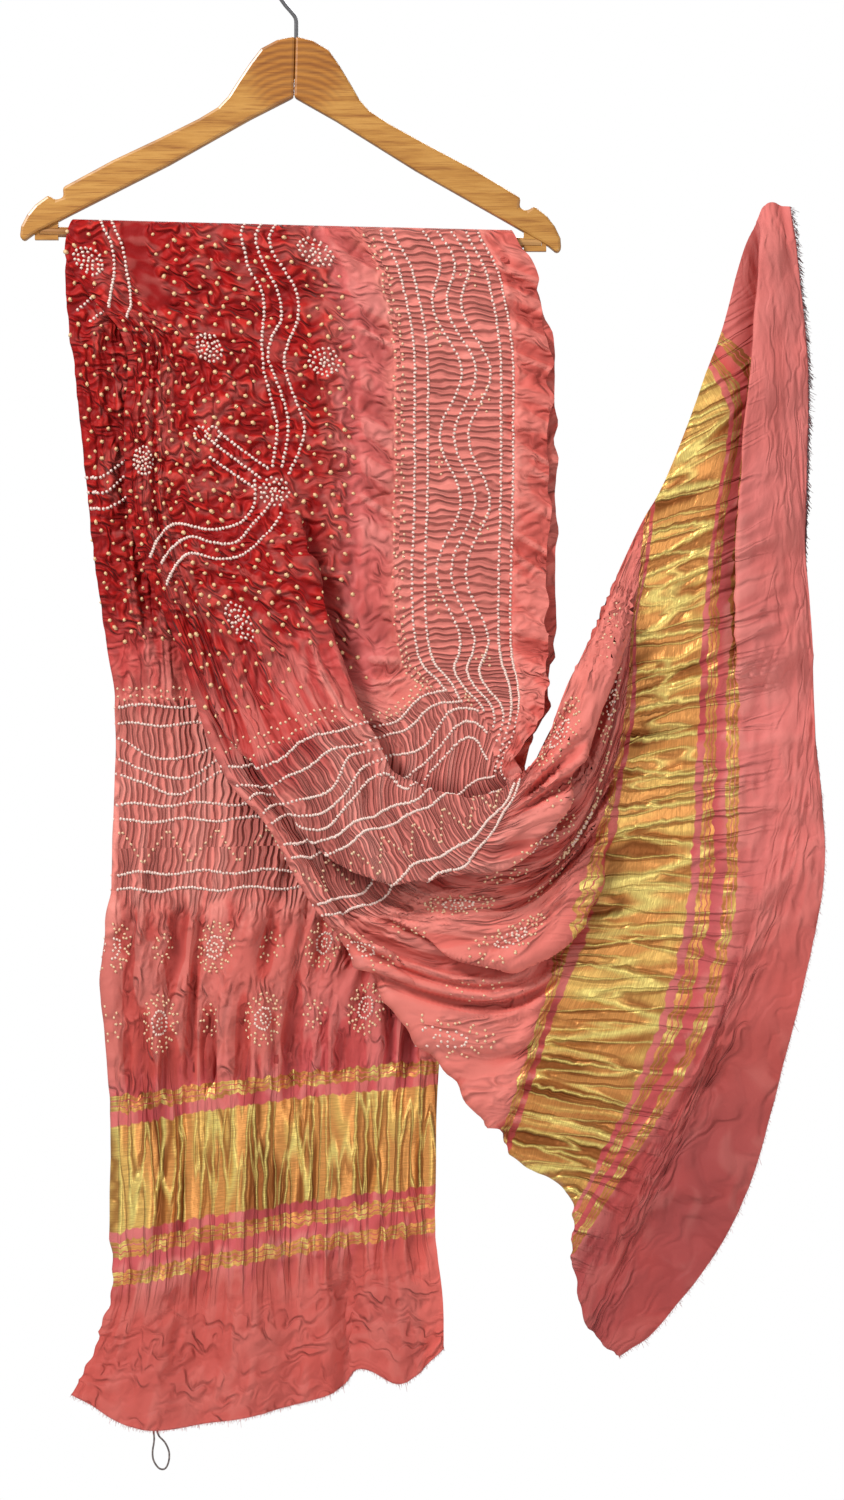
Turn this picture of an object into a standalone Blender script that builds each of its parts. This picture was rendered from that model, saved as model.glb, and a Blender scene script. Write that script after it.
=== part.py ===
"""A bandhani cloth, folded in half lengthwise and hung over the bar of a wooden clothes hanger.

Frame: metres, +X right, +Y away from the viewer, +Z up. The origin is where the hook bears on its rail.
The front half of the cloth is swung to the right and pinned up by one corner of its end.
"""

import math
from collections import namedtuple

import bmesh
import bpy
import numpy as np

# Driving sizes in metres
HANGER_SPAN = 0.445
HANGER_SPAN_ON_VIEW = 543.0  # the same span in points of the drawn view, whose y runs down
VIEW_SCALE = HANGER_SPAN / HANGER_SPAN_ON_VIEW
HOOK_WIRE_DIAMETER = 0.0034
HOOK_INNER_RADIUS = 0.0182
HOOK_MOUTH_ANGLE = 35.0  # degrees, how far below level the free end stops
ARM_THICKNESS = 0.012
ARM_BEVEL = 0.0022
BAR_DIAMETER = 0.0085
SEAT_GAP = 0.0003
LUG_THICKNESS = 0.007
CLOTH_THICKNESS = 0.0015
LAYER_GAP_AT_BAR = 0.0042
FRONT_LENGTH = 0.99  # the front half's hung length, from the bar to its end
BACK_LENGTH = 0.99
THREAD_DIAMETER = 0.0016

# Points of the drawn view
STEM_X, BEARING_Y = 295.5, -46.0
PIVOT_X, PIVOT_Y, TILT = 290.0, 240.0, math.radians(1.3)
BAR_Y, BAR_HALF_LENGTH = 234.5, 252.0
TOP_TUCK_RIGHT, TOP_TUCK_LEFT = 6.0, 4.0  # the cloth draws in on top of the bar, clear of the arms
STEM_FOOT_Y, HOLE_TOP_Y = 75.0, 20.0

# Grid of the cloth
BACK_ROWS, BAR_ROWS, FRONT_ROWS = 21, 6, 30
LAYER_COLUMNS, TURN_COLUMNS = 17, 3

Rib = namedtuple("Rib", "length share points")
Fold = namedtuple("Fold", "name height reach side points")
Layer = namedtuple("Layer", "length depth gap")
Wave = namedtuple("Wave", "pitch height phase start full")

# A rib is one thread across the cloth: its hung distance from the bar, the share of the width in front of
# the fold, and its way across the view from the outer selvedge to the lengthwise fold.
FRONT_RIBS = (
    Rib(0.000, 0.50, ((518, 239), (300, 234), (66, 228))),
    Rib(0.020, 0.50, ((532, 264), (300, 258), (63, 252))),
    Rib(0.050, 0.50, ((541, 297), (330, 292), (84, 288))),
    Rib(0.085, 0.50, ((548, 338), (340, 333), (119, 328))),
    Rib(0.160, 0.50, ((550, 428), (340, 424), (124, 420))),
    Rib(0.240, 0.50, ((549, 525), (340, 520), (128, 514))),
    Rib(0.340, 0.50, ((546, 645), (350, 638), (174, 638))),
    Rib(0.391, 0.50, ((545, 680), (410, 692), (340, 715), (213, 750))),
    Rib(0.440, 0.50, ((537, 718), (430, 738), (350, 782), (252, 806))),
    Rib(0.472, 0.50, ((512, 757), (434, 794), (350, 825), (262, 826))),
    Rib(0.550, 0.50, ((524, 759), (480, 815), (395, 873), (309, 904))),
    Rib(0.610, 0.52, ((600, 690), (570, 790), (500, 890), (368, 972))),
    Rib(0.700, 0.70, ((640, 545), (618, 740), (570, 915), (500, 1136))),
    Rib(0.722, 0.74, ((655, 500), (634, 680), (585, 929), (510, 1150))),
    Rib(0.830, 0.88, ((703, 377), (722, 520), (690, 850), (575, 1206))),
    Rib(0.872, 0.93, ((722, 330), (742, 480), (735, 900), (573, 1255))),
    Rib(0.930, 0.95, ((750, 232), (778, 440), (785, 850), (590, 1330))),
    Rib(0.960, 0.96, ((768, 203), (795, 440), (800, 860), (604, 1344))),
    Rib(0.990, 0.97, ((791, 206), (808, 370), (806, 560), (812, 700), (825, 870), (788, 1050), (738, 1215),
                      (660, 1325), (620, 1357))),
)
BACK_RIBS = (
    Rib(0.000, 0.50, ((518, 239), (300, 234), (66, 228))),
    Rib(0.030, 0.50, ((534, 272), (300, 268), (63, 264))),
    Rib(0.130, 0.50, ((548, 396), (310, 390), (74, 386))),
    Rib(0.250, 0.50, ((548, 540), (320, 532), (89, 536))),
    Rib(0.391, 0.50, ((540, 700), (320, 704), (110, 706))),
    Rib(0.472, 0.50, ((515, 795), (310, 802), (112, 806))),
    Rib(0.543, 0.50, ((480, 880), (300, 888), (109, 892))),
    Rib(0.640, 0.50, ((447, 985), (280, 1005), (104, 1010))),
    Rib(0.722, 0.50, ((438, 1088), (270, 1105), (110, 1131))),
    Rib(0.830, 0.50, ((436, 1190), (270, 1212), (110, 1238))),
    Rib(0.872, 0.50, ((435, 1238), (270, 1265), (108, 1294))),
    Rib(0.930, 0.50, ((443, 1305), (350, 1310), (270, 1340), (92, 1352))),
    Rib(0.990, 0.50, ((444, 1356), (402, 1390), (360, 1376), (320, 1405), (152, 1437), (67, 1402))),
)

# Depth of the layer that faces the viewer and the gap to the layer behind it, down the length.
FRONT_LAYERS = (
    Layer(0.00, -0.0096, 0.0042),
    Layer(0.10, -0.0130, 0.0070),
    Layer(0.34, -0.0180, 0.0090),
    Layer(0.47, -0.0260, 0.0130),
    Layer(0.61, -0.0300, 0.0150),
    Layer(0.83, -0.0220, 0.0110),
    Layer(0.99, -0.0130, 0.0060),
)
BACK_LAYERS = (
    Layer(0.00, 0.0054, 0.0042),
    Layer(0.12, 0.0090, 0.0070),
    Layer(0.40, 0.0130, 0.0080),
    Layer(0.99, 0.0180, 0.0090),
)

# Rolls of the swag: how far the lip stands forward, how far it dies away, and on which hand of its line
# the cloth is in front (1 is the right hand of the way the points run).
FOLDS = (
    Fold("cowl_lip", 0.026, 75, 1, ((196, 690), (240, 751), (288, 831), (345, 872), (420, 882), (500, 868),
                                    (580, 785), (612, 690), (640, 575))),
    Fold("border_slit", 0.018, 85, -1, ((296, 505), (319, 586), (348, 682), (376, 756), (415, 793),
                                        (482, 799), (531, 770), (568, 715))),
    Fold("lower_lip", 0.011, 50, 1, ((390, 925), (440, 962), (491, 970), (559, 947), (595, 895), (619, 805))),
    Fold("end_slit", 0.012, 60, 1, ((761, 205), (754, 330), (742, 450), (738, 600), (738, 720))),
)

FOLD_FADE = 0.3  # share of a roll's line over which each end dies away
LIP_HALF_WIDTH = 9.0

# Soft upright waves of the back half and slanting ones of the end panel, growing with the length.
BACK_WAVES = (
    Wave(118, 0.0042, 0.6, 0.15, 0.55),
    Wave(83, 0.0030, 2.1, 0.45, 0.80),
)
END_WAVES = (
    Wave(128, 0.0034, 1.2, 0.62, 0.80),
)
HEM_RECESS_X, HEM_RECESS_WIDTH, HEM_RECESS_DEPTH = 347.0, 13.0, 0.014

# Half of the hanger's outline, from the middle of the hump round the tip and back under the arm.
ARM_TOP = ((0, 33), (18, 37), (34, 46), (45, 61), (57, 80), (66, 95), (76, 106), (95, 118), (133, 138),
           (181, 162), (230, 190))
ARM_NOTCH = ((229, 200), (237, 203), (244, 198))
ARM_TIP = ((257, 208), (265, 218), (271, 230), (272, 241), (268, 245), (259, 238))
ARM_UNDERSIDE = ((219, 216), (124, 165), (43, 117), (0, 94))
LUG_LEFT, LUG_RIGHT, LUG_TOP, LUG_BOTTOM = 234.0, 257.0, 222.0, 243.0

# Way of the thread loop from the hem round and back, in points across the view and below the hem.
LOOP_X = 151.0
LOOP_ROUTE = ((0, 0), (0.6, 10), (-1.0, 22), (0.2, 31), (5.5, 38.5), (11.5, 39), (15.2, 32), (15.6, 22),
              (11.5, 12.5), (5.5, 6), (3.6, 0))


def clear_scene():
    """Remove whatever the scene holds."""
    for obj in list(bpy.data.objects):
        bpy.data.objects.remove(obj, do_unlink=True)


def from_view(x, y, depth=0.0):
    """Place a point of the drawn view, at a depth along Y."""
    return ((x - STEM_X) * VIEW_SCALE, depth, (BEARING_Y - y) * VIEW_SCALE)


def tilted(dx, y):
    """Turn a point of the level hanger about its pivot as it hangs in the view."""
    rise = PIVOT_Y - y
    return (
        PIVOT_X + dx * math.cos(TILT) + rise * math.sin(TILT),
        PIVOT_Y + dx * math.sin(TILT) - rise * math.cos(TILT),
    )


def make_material(name, colour, roughness, metallic=0.0):
    """Make a Principled material."""
    material = bpy.data.materials.new(name)
    material.use_nodes = True
    shader = material.node_tree.nodes["Principled BSDF"]
    shader.inputs["Base Color"].default_value = (*colour, 1.0)
    shader.inputs["Roughness"].default_value = roughness
    shader.inputs["Metallic"].default_value = metallic
    return material


def add_object(name, data, material=None):
    """Link a new object that holds this data."""
    obj = bpy.data.objects.new(name, data)
    bpy.context.scene.collection.objects.link(obj)
    if material:
        data.materials.append(material)
    return obj


def smooth(value):
    """Ease from 0 to 1."""
    value = np.clip(value, 0.0, 1.0)
    return value * value * (3.0 - 2.0 * value)


def curve_through(points, count):
    """Sample a Catmull-Rom curve through the points evenly along its length."""
    points = np.asarray(points, float)
    ends = np.vstack([2 * points[0] - points[1], points, 2 * points[-1] - points[-2]])
    fine = []
    for before, start, stop, after in zip(ends, ends[1:], ends[2:], ends[3:]):
        for step in np.linspace(0.0, 1.0, 24, endpoint=False):
            bend = 2 * start + (stop - before) * step
            bend = bend + (2 * before - 5 * start + 4 * stop - after) * step**2
            bend = bend + (3 * start - before - 3 * stop + after) * step**3
            fine.append(bend / 2)
    fine.append(points[-1])
    fine = np.array(fine)
    walked = np.concatenate([[0.0], np.cumsum(np.linalg.norm(np.diff(fine, axis=0), axis=1))])
    marks = np.linspace(0.0, walked[-1], count)
    return np.column_stack([np.interp(marks, walked, fine[:, axis]) for axis in range(points.shape[1])])


def between(table, length, values):
    """Interpolate values smoothly down the length, one row of values for each row of the table."""
    marks = np.array([row.length for row in table])
    values = np.asarray(values, float)
    slopes = np.gradient(values, marks, axis=0)
    i = int(np.clip(np.searchsorted(marks, length) - 1, 0, len(marks) - 2))
    span = marks[i + 1] - marks[i]
    part = (length - marks[i]) / span
    start, stop = values[i], values[i + 1]
    rise = (1 - part) ** 2 * part * span * slopes[i] - part**2 * (1 - part) * span * slopes[i + 1]
    return start + (stop - start) * (3 * part**2 - 2 * part**3) + rise


class Half:
    """One half of the hung cloth: its ribs, layers and relief."""

    SAMPLES = 101

    def __init__(self, ribs, layers, relief, toward_viewer):
        self.ribs = ribs
        self.layers = layers
        self.relief = relief
        self.toward_viewer = toward_viewer
        self.curves = np.array([curve_through(rib.points, self.SAMPLES) for rib in ribs])
        self.shares = [rib.share for rib in ribs]
        self.depths = [layer.depth for layer in layers]
        self.gaps = [layer.gap for layer in layers]

    def across(self, length, way):
        """Points of the view at these shares of the way from the selvedge to the fold."""
        rib = between(self.ribs, length, self.curves)
        marks = np.linspace(0.0, 1.0, self.SAMPLES)
        return np.column_stack([np.interp(way, marks, rib[:, 0]), np.interp(way, marks, rib[:, 1])])

    def row(self, length):
        """One row of the cloth across: the viewer's layer, the turn at the fold, the other layer."""
        depth = float(between(self.layers, length, self.depths))
        gap = float(between(self.layers, length, self.gaps))
        share = float(between(self.ribs, length, self.shares))
        turn_radius = min(gap / 2, 0.0045)
        ways = np.linspace(0.0, 1.0, LAYER_COLUMNS)
        near = self.across(length, ways)
        far_end = 1.0 - (1.0 - share) / share
        far = self.across(length, np.linspace(1.0, max(far_end, 0.0), LAYER_COLUMNS))
        outward = near[-1] - near[-2]
        outward = outward / np.linalg.norm(outward)
        pull = outward * turn_radius / VIEW_SCALE
        near = near - pull * smooth((ways - 0.8) / 0.2)[:, None]
        far = far - pull * smooth((ways[::-1] - 0.8) / 0.2)[:, None]
        near_depth = depth - self.relief(near, length)
        far_depth = depth + gap - 0.25 * self.relief(far, length)
        rows = [from_view(x, y, d) for (x, y), d in zip(near, near_depth)]
        turn_in, turn_out = near_depth[-1], far_depth[0]
        for step in range(1, TURN_COLUMNS + 1):
            angle = math.pi * step / (TURN_COLUMNS + 1)
            spot = near[-1] + pull * math.sin(angle)
            rows.append(from_view(*spot, (turn_in + turn_out) / 2 - math.cos(angle) * (turn_out - turn_in) / 2))
        rows += [from_view(x, y, d) for (x, y), d in zip(far, far_depth)]
        return rows if self.toward_viewer else rows[::-1]


def fold_relief(points, fold):
    """How far one roll lifts these points of the view towards the viewer."""
    line = curve_through(fold.points, 60)
    offsets = points[:, None, :] - line[None, :, :]
    nearest = np.argmin(np.linalg.norm(offsets, axis=2), axis=1)
    tangents = np.gradient(line, axis=0)
    tangent = tangents[nearest] / np.linalg.norm(tangents[nearest], axis=1)[:, None]
    offset = offsets[np.arange(len(points)), nearest]
    aside = (tangent[:, 1] * offset[:, 0] - tangent[:, 0] * offset[:, 1]) * fold.side
    along = nearest / (len(line) - 1.0)
    taper = smooth(along / FOLD_FADE) * smooth((1.0 - along) / FOLD_FADE)
    lip = smooth((aside + LIP_HALF_WIDTH) / (2 * LIP_HALF_WIDTH))
    away = np.exp(-((np.maximum(aside, 0.0) / fold.reach) ** 2))
    return fold.height * taper * lip * away


def wave_relief(marks, length, waves):
    """Height of upright waves at these marks across the view."""
    total = np.zeros(len(marks))
    for wave in waves:
        grown = smooth((length - wave.start) / (wave.full - wave.start))
        total += wave.height * grown * np.sin(marks * 2 * math.pi / wave.pitch + wave.phase)
    return total


def front_relief(points, length):
    """Rolls of the swag and slanting waves of the end panel."""
    slant = points[:, 1] + 0.35 * points[:, 0]
    return sum(fold_relief(points, fold) for fold in FOLDS) + wave_relief(slant, length, END_WAVES)


def back_relief(points, length):
    """Upright waves of the back half and the deep fold at its hem."""
    hollow = np.exp(-(((points[:, 0] - HEM_RECESS_X) / HEM_RECESS_WIDTH) ** 2))
    hollow = hollow * HEM_RECESS_DEPTH * smooth((length - 0.80) / 0.15)
    return wave_relief(points[:, 0], length, BACK_WAVES) - hollow


def bar_row(turn):
    """The row of the cloth at this turn over the bar, from 0 at the back to pi at the front."""
    inner = BAR_DIAMETER / 2 + SEAT_GAP + CLOTH_THICKNESS / 2 + 0.0002
    outer = inner + LAYER_GAP_AT_BAR
    ways = np.linspace(0.0, 1.0, LAYER_COLUMNS)
    middle, half_gap = (inner + outer) / 2, LAYER_GAP_AT_BAR / 2
    selvedge = np.array(FRONT_RIBS[0].points[0]) - (TOP_TUCK_RIGHT * math.sin(turn), 0.0)
    edge = np.array(FRONT_RIBS[0].points[-1]) + (TOP_TUCK_LEFT * math.sin(turn), 0.0)
    spots = [(way, outer, 0.0) for way in ways]
    for step in range(1, TURN_COLUMNS + 1):
        angle = math.pi * step / (TURN_COLUMNS + 1)
        spots.append((1.0, middle + half_gap * math.cos(angle), half_gap * math.sin(angle)))
    spots += [(way, inner, 0.0) for way in ways[::-1]]
    row = []
    for way, radius, beyond in spots:
        spot = selvedge + (edge - selvedge) * way
        x, _, z = from_view(*spot)
        pull = half_gap * float(smooth((way - 0.8) / 0.2))
        row.append((x + pull - beyond, radius * math.cos(turn), z + radius * math.sin(turn)))
    return row


def build_cloth(material):
    """Build the cloth as one sheet from its back hem to its front end, and return its hem's viewer side."""
    front = Half(FRONT_RIBS, FRONT_LAYERS, front_relief, True)
    back = Half(BACK_RIBS, BACK_LAYERS, back_relief, False)
    rows = [back.row(length) for length in np.linspace(BACK_LENGTH, 0.0, BACK_ROWS + 1)[:-1]]
    rows += [bar_row(turn) for turn in np.linspace(0.0, math.pi, BAR_ROWS + 1)]
    rows += [front.row(length) for length in np.linspace(0.0, FRONT_LENGTH, FRONT_ROWS + 1)[1:]]
    columns = len(rows[0])
    points = [point for row in rows for point in row]
    faces = []
    for i in range(len(rows) - 1):
        for j in range(columns - 1):
            corner = i * columns + j
            faces.append((corner, corner + columns, corner + columns + 1, corner + 1))
    mesh = bpy.data.meshes.new("cloth")
    mesh.from_pydata(points, [], faces)
    mesh.update()
    cloth = add_object("cloth", mesh, material)
    solid = cloth.modifiers.new("thickness", "SOLIDIFY")
    solid.thickness = CLOTH_THICKNESS
    solid.offset = 0.0
    mesh.shade_smooth()
    return sorted(rows[0][-LAYER_COLUMNS:])


def cylinder_cutter(name, radius, start, end):
    """A hidden round cutter from one point to another."""
    line = bpy.data.curves.new(name, "CURVE")
    line.dimensions = "3D"
    spline = line.splines.new("POLY")
    spline.points.add(1)
    spline.points[0].co = (*start, 1.0)
    spline.points[1].co = (*end, 1.0)
    line.bevel_depth = radius
    line.bevel_resolution = 4
    line.use_fill_caps = True
    guide = add_object(name + "_guide", line)
    mesh = bpy.data.meshes.new_from_object(guide.evaluated_get(bpy.context.evaluated_depsgraph_get()))
    bpy.data.objects.remove(guide, do_unlink=True)
    cutter = add_object(name, mesh)
    cutter.hide_render = True
    cutter.display_type = "WIRE"
    return cutter


def box_mesh(name, low, high):
    """A box between two corners."""
    shape = bmesh.new()
    bmesh.ops.create_cube(shape, size=1.0)
    low, high = np.minimum(low, high), np.maximum(low, high)
    for vertex in shape.verts:
        vertex.co = [(a + b) / 2 + c * (b - a) for a, b, c in zip(low, high, vertex.co)]
    mesh = bpy.data.meshes.new(name)
    shape.to_mesh(mesh)
    shape.free()
    return mesh


def boolean(obj, other, operation):
    """Cut or join another object with this one."""
    change = obj.modifiers.new(operation.lower(), "BOOLEAN")
    change.operation = operation
    change.object = other
    change.solver = "EXACT"


def build_arm(side, sign, material, hook_hole):
    """Build one arm: its outline extruded, rounded, with a lug and a socket for the bar."""
    outline = ARM_TOP + ARM_NOTCH + ARM_TIP + ARM_UNDERSIDE
    shape = bmesh.new()
    middle_gap = SEAT_GAP / 2 / VIEW_SCALE
    vertices = []
    for dx, y in outline:
        spot = tilted(sign * max(dx, middle_gap), y)
        vertices.append(shape.verts.new(from_view(*spot, -ARM_THICKNESS / 2)))
    face = shape.faces.new(vertices)
    pushed = bmesh.ops.extrude_face_region(shape, geom=[face])
    for item in pushed["geom"]:
        if isinstance(item, bmesh.types.BMVert):
            item.co.y = ARM_THICKNESS / 2
    bmesh.ops.recalc_face_normals(shape, faces=shape.faces)
    mesh = bpy.data.meshes.new(f"hanger_arm_{side}")
    shape.to_mesh(mesh)
    shape.free()
    arm = add_object(f"hanger_arm_{side}", mesh, material)
    rounding = arm.modifiers.new("rounding", "BEVEL")
    rounding.width = ARM_BEVEL
    rounding.segments = 2
    rounding.limit_method = "ANGLE"
    rounding.angle_limit = math.radians(50)
    inner, outer = tilted(sign * LUG_LEFT, LUG_TOP), tilted(sign * LUG_RIGHT, LUG_BOTTOM)
    lug_mesh = box_mesh(
        f"lug_{side}",
        from_view(*inner, -LUG_THICKNESS / 2),
        from_view(*outer, LUG_THICKNESS / 2),
    )
    lug = add_object(f"lug_{side}", lug_mesh)
    lug.hide_render = True
    lug.display_type = "WIRE"
    boolean(arm, lug, "UNION")
    bar_inside = from_view(*tilted(sign * (LUG_LEFT - 8), BAR_Y))
    bar_end = from_view(*tilted(sign * (BAR_HALF_LENGTH + SEAT_GAP / VIEW_SCALE), BAR_Y))
    socket = cylinder_cutter(f"socket_{side}", BAR_DIAMETER / 2 + SEAT_GAP, bar_inside, bar_end)
    boolean(arm, socket, "DIFFERENCE")
    boolean(arm, hook_hole, "DIFFERENCE")
    return arm


def build_tube(name, points, diameter, resolution, material):
    """Build a round wire along these points."""
    curve = bpy.data.curves.new(name, "CURVE")
    curve.dimensions = "3D"
    spline = curve.splines.new("POLY")
    spline.points.add(len(points) - 1)
    for spot, point in zip(spline.points, points):
        spot.co = (*point, 1.0)
    curve.bevel_depth = diameter / 2
    curve.bevel_resolution = resolution
    curve.use_fill_caps = True
    return add_object(name, curve, material)


def build_bar(material):
    """Build the round bar that carries the cloth."""
    ends = [from_view(*tilted(sign * BAR_HALF_LENGTH, BAR_Y)) for sign in (-1, 1)]
    return build_tube("trouser_bar", ends, BAR_DIAMETER, 4, material)


def build_hook(material):
    """Build the wire hook: a stem from the hump, a bend to the left and an open loop over the rail."""
    radius = HOOK_INNER_RADIUS + HOOK_WIRE_DIAMETER / 2
    centre_z = -HOOK_INNER_RADIUS
    foot = from_view(STEM_X, STEM_FOOT_Y)
    points = [(0.0, 0.0, z) for z in np.linspace(foot[2], -0.0520, 4)]
    start_angle = math.radians(232.0)
    bend = [
        (0.0, -0.0520),
        (-0.0008, -0.0485),
        (-0.0042, -0.0440),
        (-0.0088, -0.0388),
        (radius * math.cos(start_angle), centre_z + radius * math.sin(start_angle)),
    ]
    points += [(x, 0.0, z) for x, z in curve_through(bend, 9)[1:-1]]
    stop_angle = math.radians(-HOOK_MOUTH_ANGLE)
    for angle in np.linspace(start_angle, stop_angle, 30):
        points.append((radius * math.cos(angle), 0.0, centre_z + radius * math.sin(angle)))
    return build_tube("hook", points, HOOK_WIRE_DIAMETER, 3, material)


def build_hem_loop(material, hem):
    """Build the small loop of thread that hangs under the hem, against its viewer side."""
    hem = np.array(hem)
    left = from_view(LOOP_X, 0.0)[0]
    depth = float(np.interp(left, hem[:, 0], hem[:, 1]))
    route = []
    for across, below in LOOP_ROUTE:
        x = left + across * VIEW_SCALE
        top = float(np.interp(x, hem[:, 0], hem[:, 2])) - SEAT_GAP
        route.append((x, depth, top - below * VIEW_SCALE))
    return build_tube("hem_loop", curve_through(route, 30), THREAD_DIAMETER, 2, material)


def build():
    """Build the hanger and the cloth on it."""
    clear_scene()
    wood = make_material("honey_wood", (0.55, 0.27, 0.06), 0.38)
    bar_wood = make_material("bar_wood", (0.50, 0.26, 0.08), 0.5)
    steel = make_material("hook_steel", (0.62, 0.62, 0.62), 0.25, 1.0)
    silk = make_material("dyed_silk", (0.48, 0.07, 0.07), 0.55)
    thread = make_material("grey_thread", (0.30, 0.26, 0.25), 0.6)
    hole_top = from_view(STEM_X, HOLE_TOP_Y)
    hole_foot = from_view(STEM_X, STEM_FOOT_Y + SEAT_GAP / VIEW_SCALE)
    hole_radius = HOOK_WIRE_DIAMETER / 2 + SEAT_GAP
    hook_hole = cylinder_cutter("hook_hole", hole_radius, hole_foot, hole_top)
    for side, sign in (("left", -1), ("right", 1)):
        build_arm(side, sign, wood, hook_hole)
    build_bar(bar_wood)
    build_hook(steel)
    hem = build_cloth(silk)
    build_hem_loop(thread, hem)


build()
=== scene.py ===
"""The looks of a bandhani cloth, folded in half lengthwise and hung over the bar of a wooden clothes hanger.

The cloth is dressed as four sheets: the front half's outer and inner layer and the back half's inner and
outer layer. They follow the same ribs, layers and rolls as the solid of the cloth, with its puckers, tied
dots, gold bands and frayed ends added. Everything is in metres in the solids' own frame.
"""

import logging
import math
from dataclasses import dataclass, field
from enum import Enum

import bpy
import numpy as np
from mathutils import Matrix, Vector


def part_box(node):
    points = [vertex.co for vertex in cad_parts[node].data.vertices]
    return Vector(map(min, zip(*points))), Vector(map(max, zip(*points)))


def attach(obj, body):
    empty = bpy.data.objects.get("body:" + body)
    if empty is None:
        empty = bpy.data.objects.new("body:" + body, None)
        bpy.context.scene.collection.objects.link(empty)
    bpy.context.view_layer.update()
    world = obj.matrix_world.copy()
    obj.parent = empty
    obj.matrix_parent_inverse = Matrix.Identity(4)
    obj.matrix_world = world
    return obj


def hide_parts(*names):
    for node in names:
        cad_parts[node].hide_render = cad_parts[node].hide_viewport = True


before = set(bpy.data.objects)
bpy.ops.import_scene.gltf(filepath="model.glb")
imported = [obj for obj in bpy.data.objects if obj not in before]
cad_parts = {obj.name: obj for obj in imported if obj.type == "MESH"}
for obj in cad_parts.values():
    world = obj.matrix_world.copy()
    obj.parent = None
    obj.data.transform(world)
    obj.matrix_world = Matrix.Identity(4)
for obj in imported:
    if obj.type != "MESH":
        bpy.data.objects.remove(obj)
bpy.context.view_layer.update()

LOG = logging.getLogger("bandhani")

# Driving sizes in metres
HANGER_SPAN = 0.445
HANGER_SPAN_ON_VIEW = 543.0  # the same span in points of the drawn view, whose y runs down
VIEW_SCALE = HANGER_SPAN / HANGER_SPAN_ON_VIEW
BAR_DIAMETER = 0.0085
SEAT_GAP = 0.0003
SOLID_THICKNESS = 0.0015
SILK_THICKNESS = 0.0005
LAYER_GAP_AT_BAR = 0.0042
HALF_LENGTH = 0.99
FOLDED_WIDTH = 0.40
FULL_WIDTH = 2 * FOLDED_WIDTH
SEAM_AT = 0.543  # where the front half's outer layer changes from its upper to its lower piece
SEAM_LAP = 0.003
MITRE_AT = 0.507  # where the border turns its corner: the place along plus the place in from the edge
THREAD_DIAMETER = 0.0016

# Points of the drawn view
STEM_X, BEARING_Y = 295.5, -46.0
VIEW_WIDTH, VIEW_HEIGHT = 844.0, 1500.0
TOP_TUCK_RIGHT, TOP_TUCK_LEFT = 6.0, 4.0


class Side(Enum):
    """Which half of the hung cloth a sheet belongs to."""

    FRONT = 1
    BACK = -1


class Layer(Enum):
    """Which of the two folded layers of a half a sheet is."""

    OUTER = "outer"
    INNER = "inner"


@dataclass(frozen=True)
class Rib:
    """One thread across the cloth: its hung distance from the bar, the share of the width in front of the
    lengthwise fold, and its way across the view from the outer selvedge to that fold."""

    length: float
    share: float
    points: tuple


@dataclass(frozen=True)
class Depth:
    """Depth of the layer that faces the viewer and the gap to the layer behind it, at one length."""

    length: float
    depth: float
    gap: float


@dataclass(frozen=True)
class Roll:
    """A roll of the swag: its lip's line in the view, how far it stands forward, how it dies away and how wide the
    painted shadow under its lip is.
    """

    name: str
    height: float
    reach: float
    side: int
    points: tuple
    overhang: float = 6.0
    fade: float = 0.3
    shadow: float = 11.0


@dataclass(frozen=True)
class Wave:
    """A family of soft parallel waves that grows down the length."""

    pitch: float
    height: float
    phase: float
    start: float
    full: float


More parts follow.
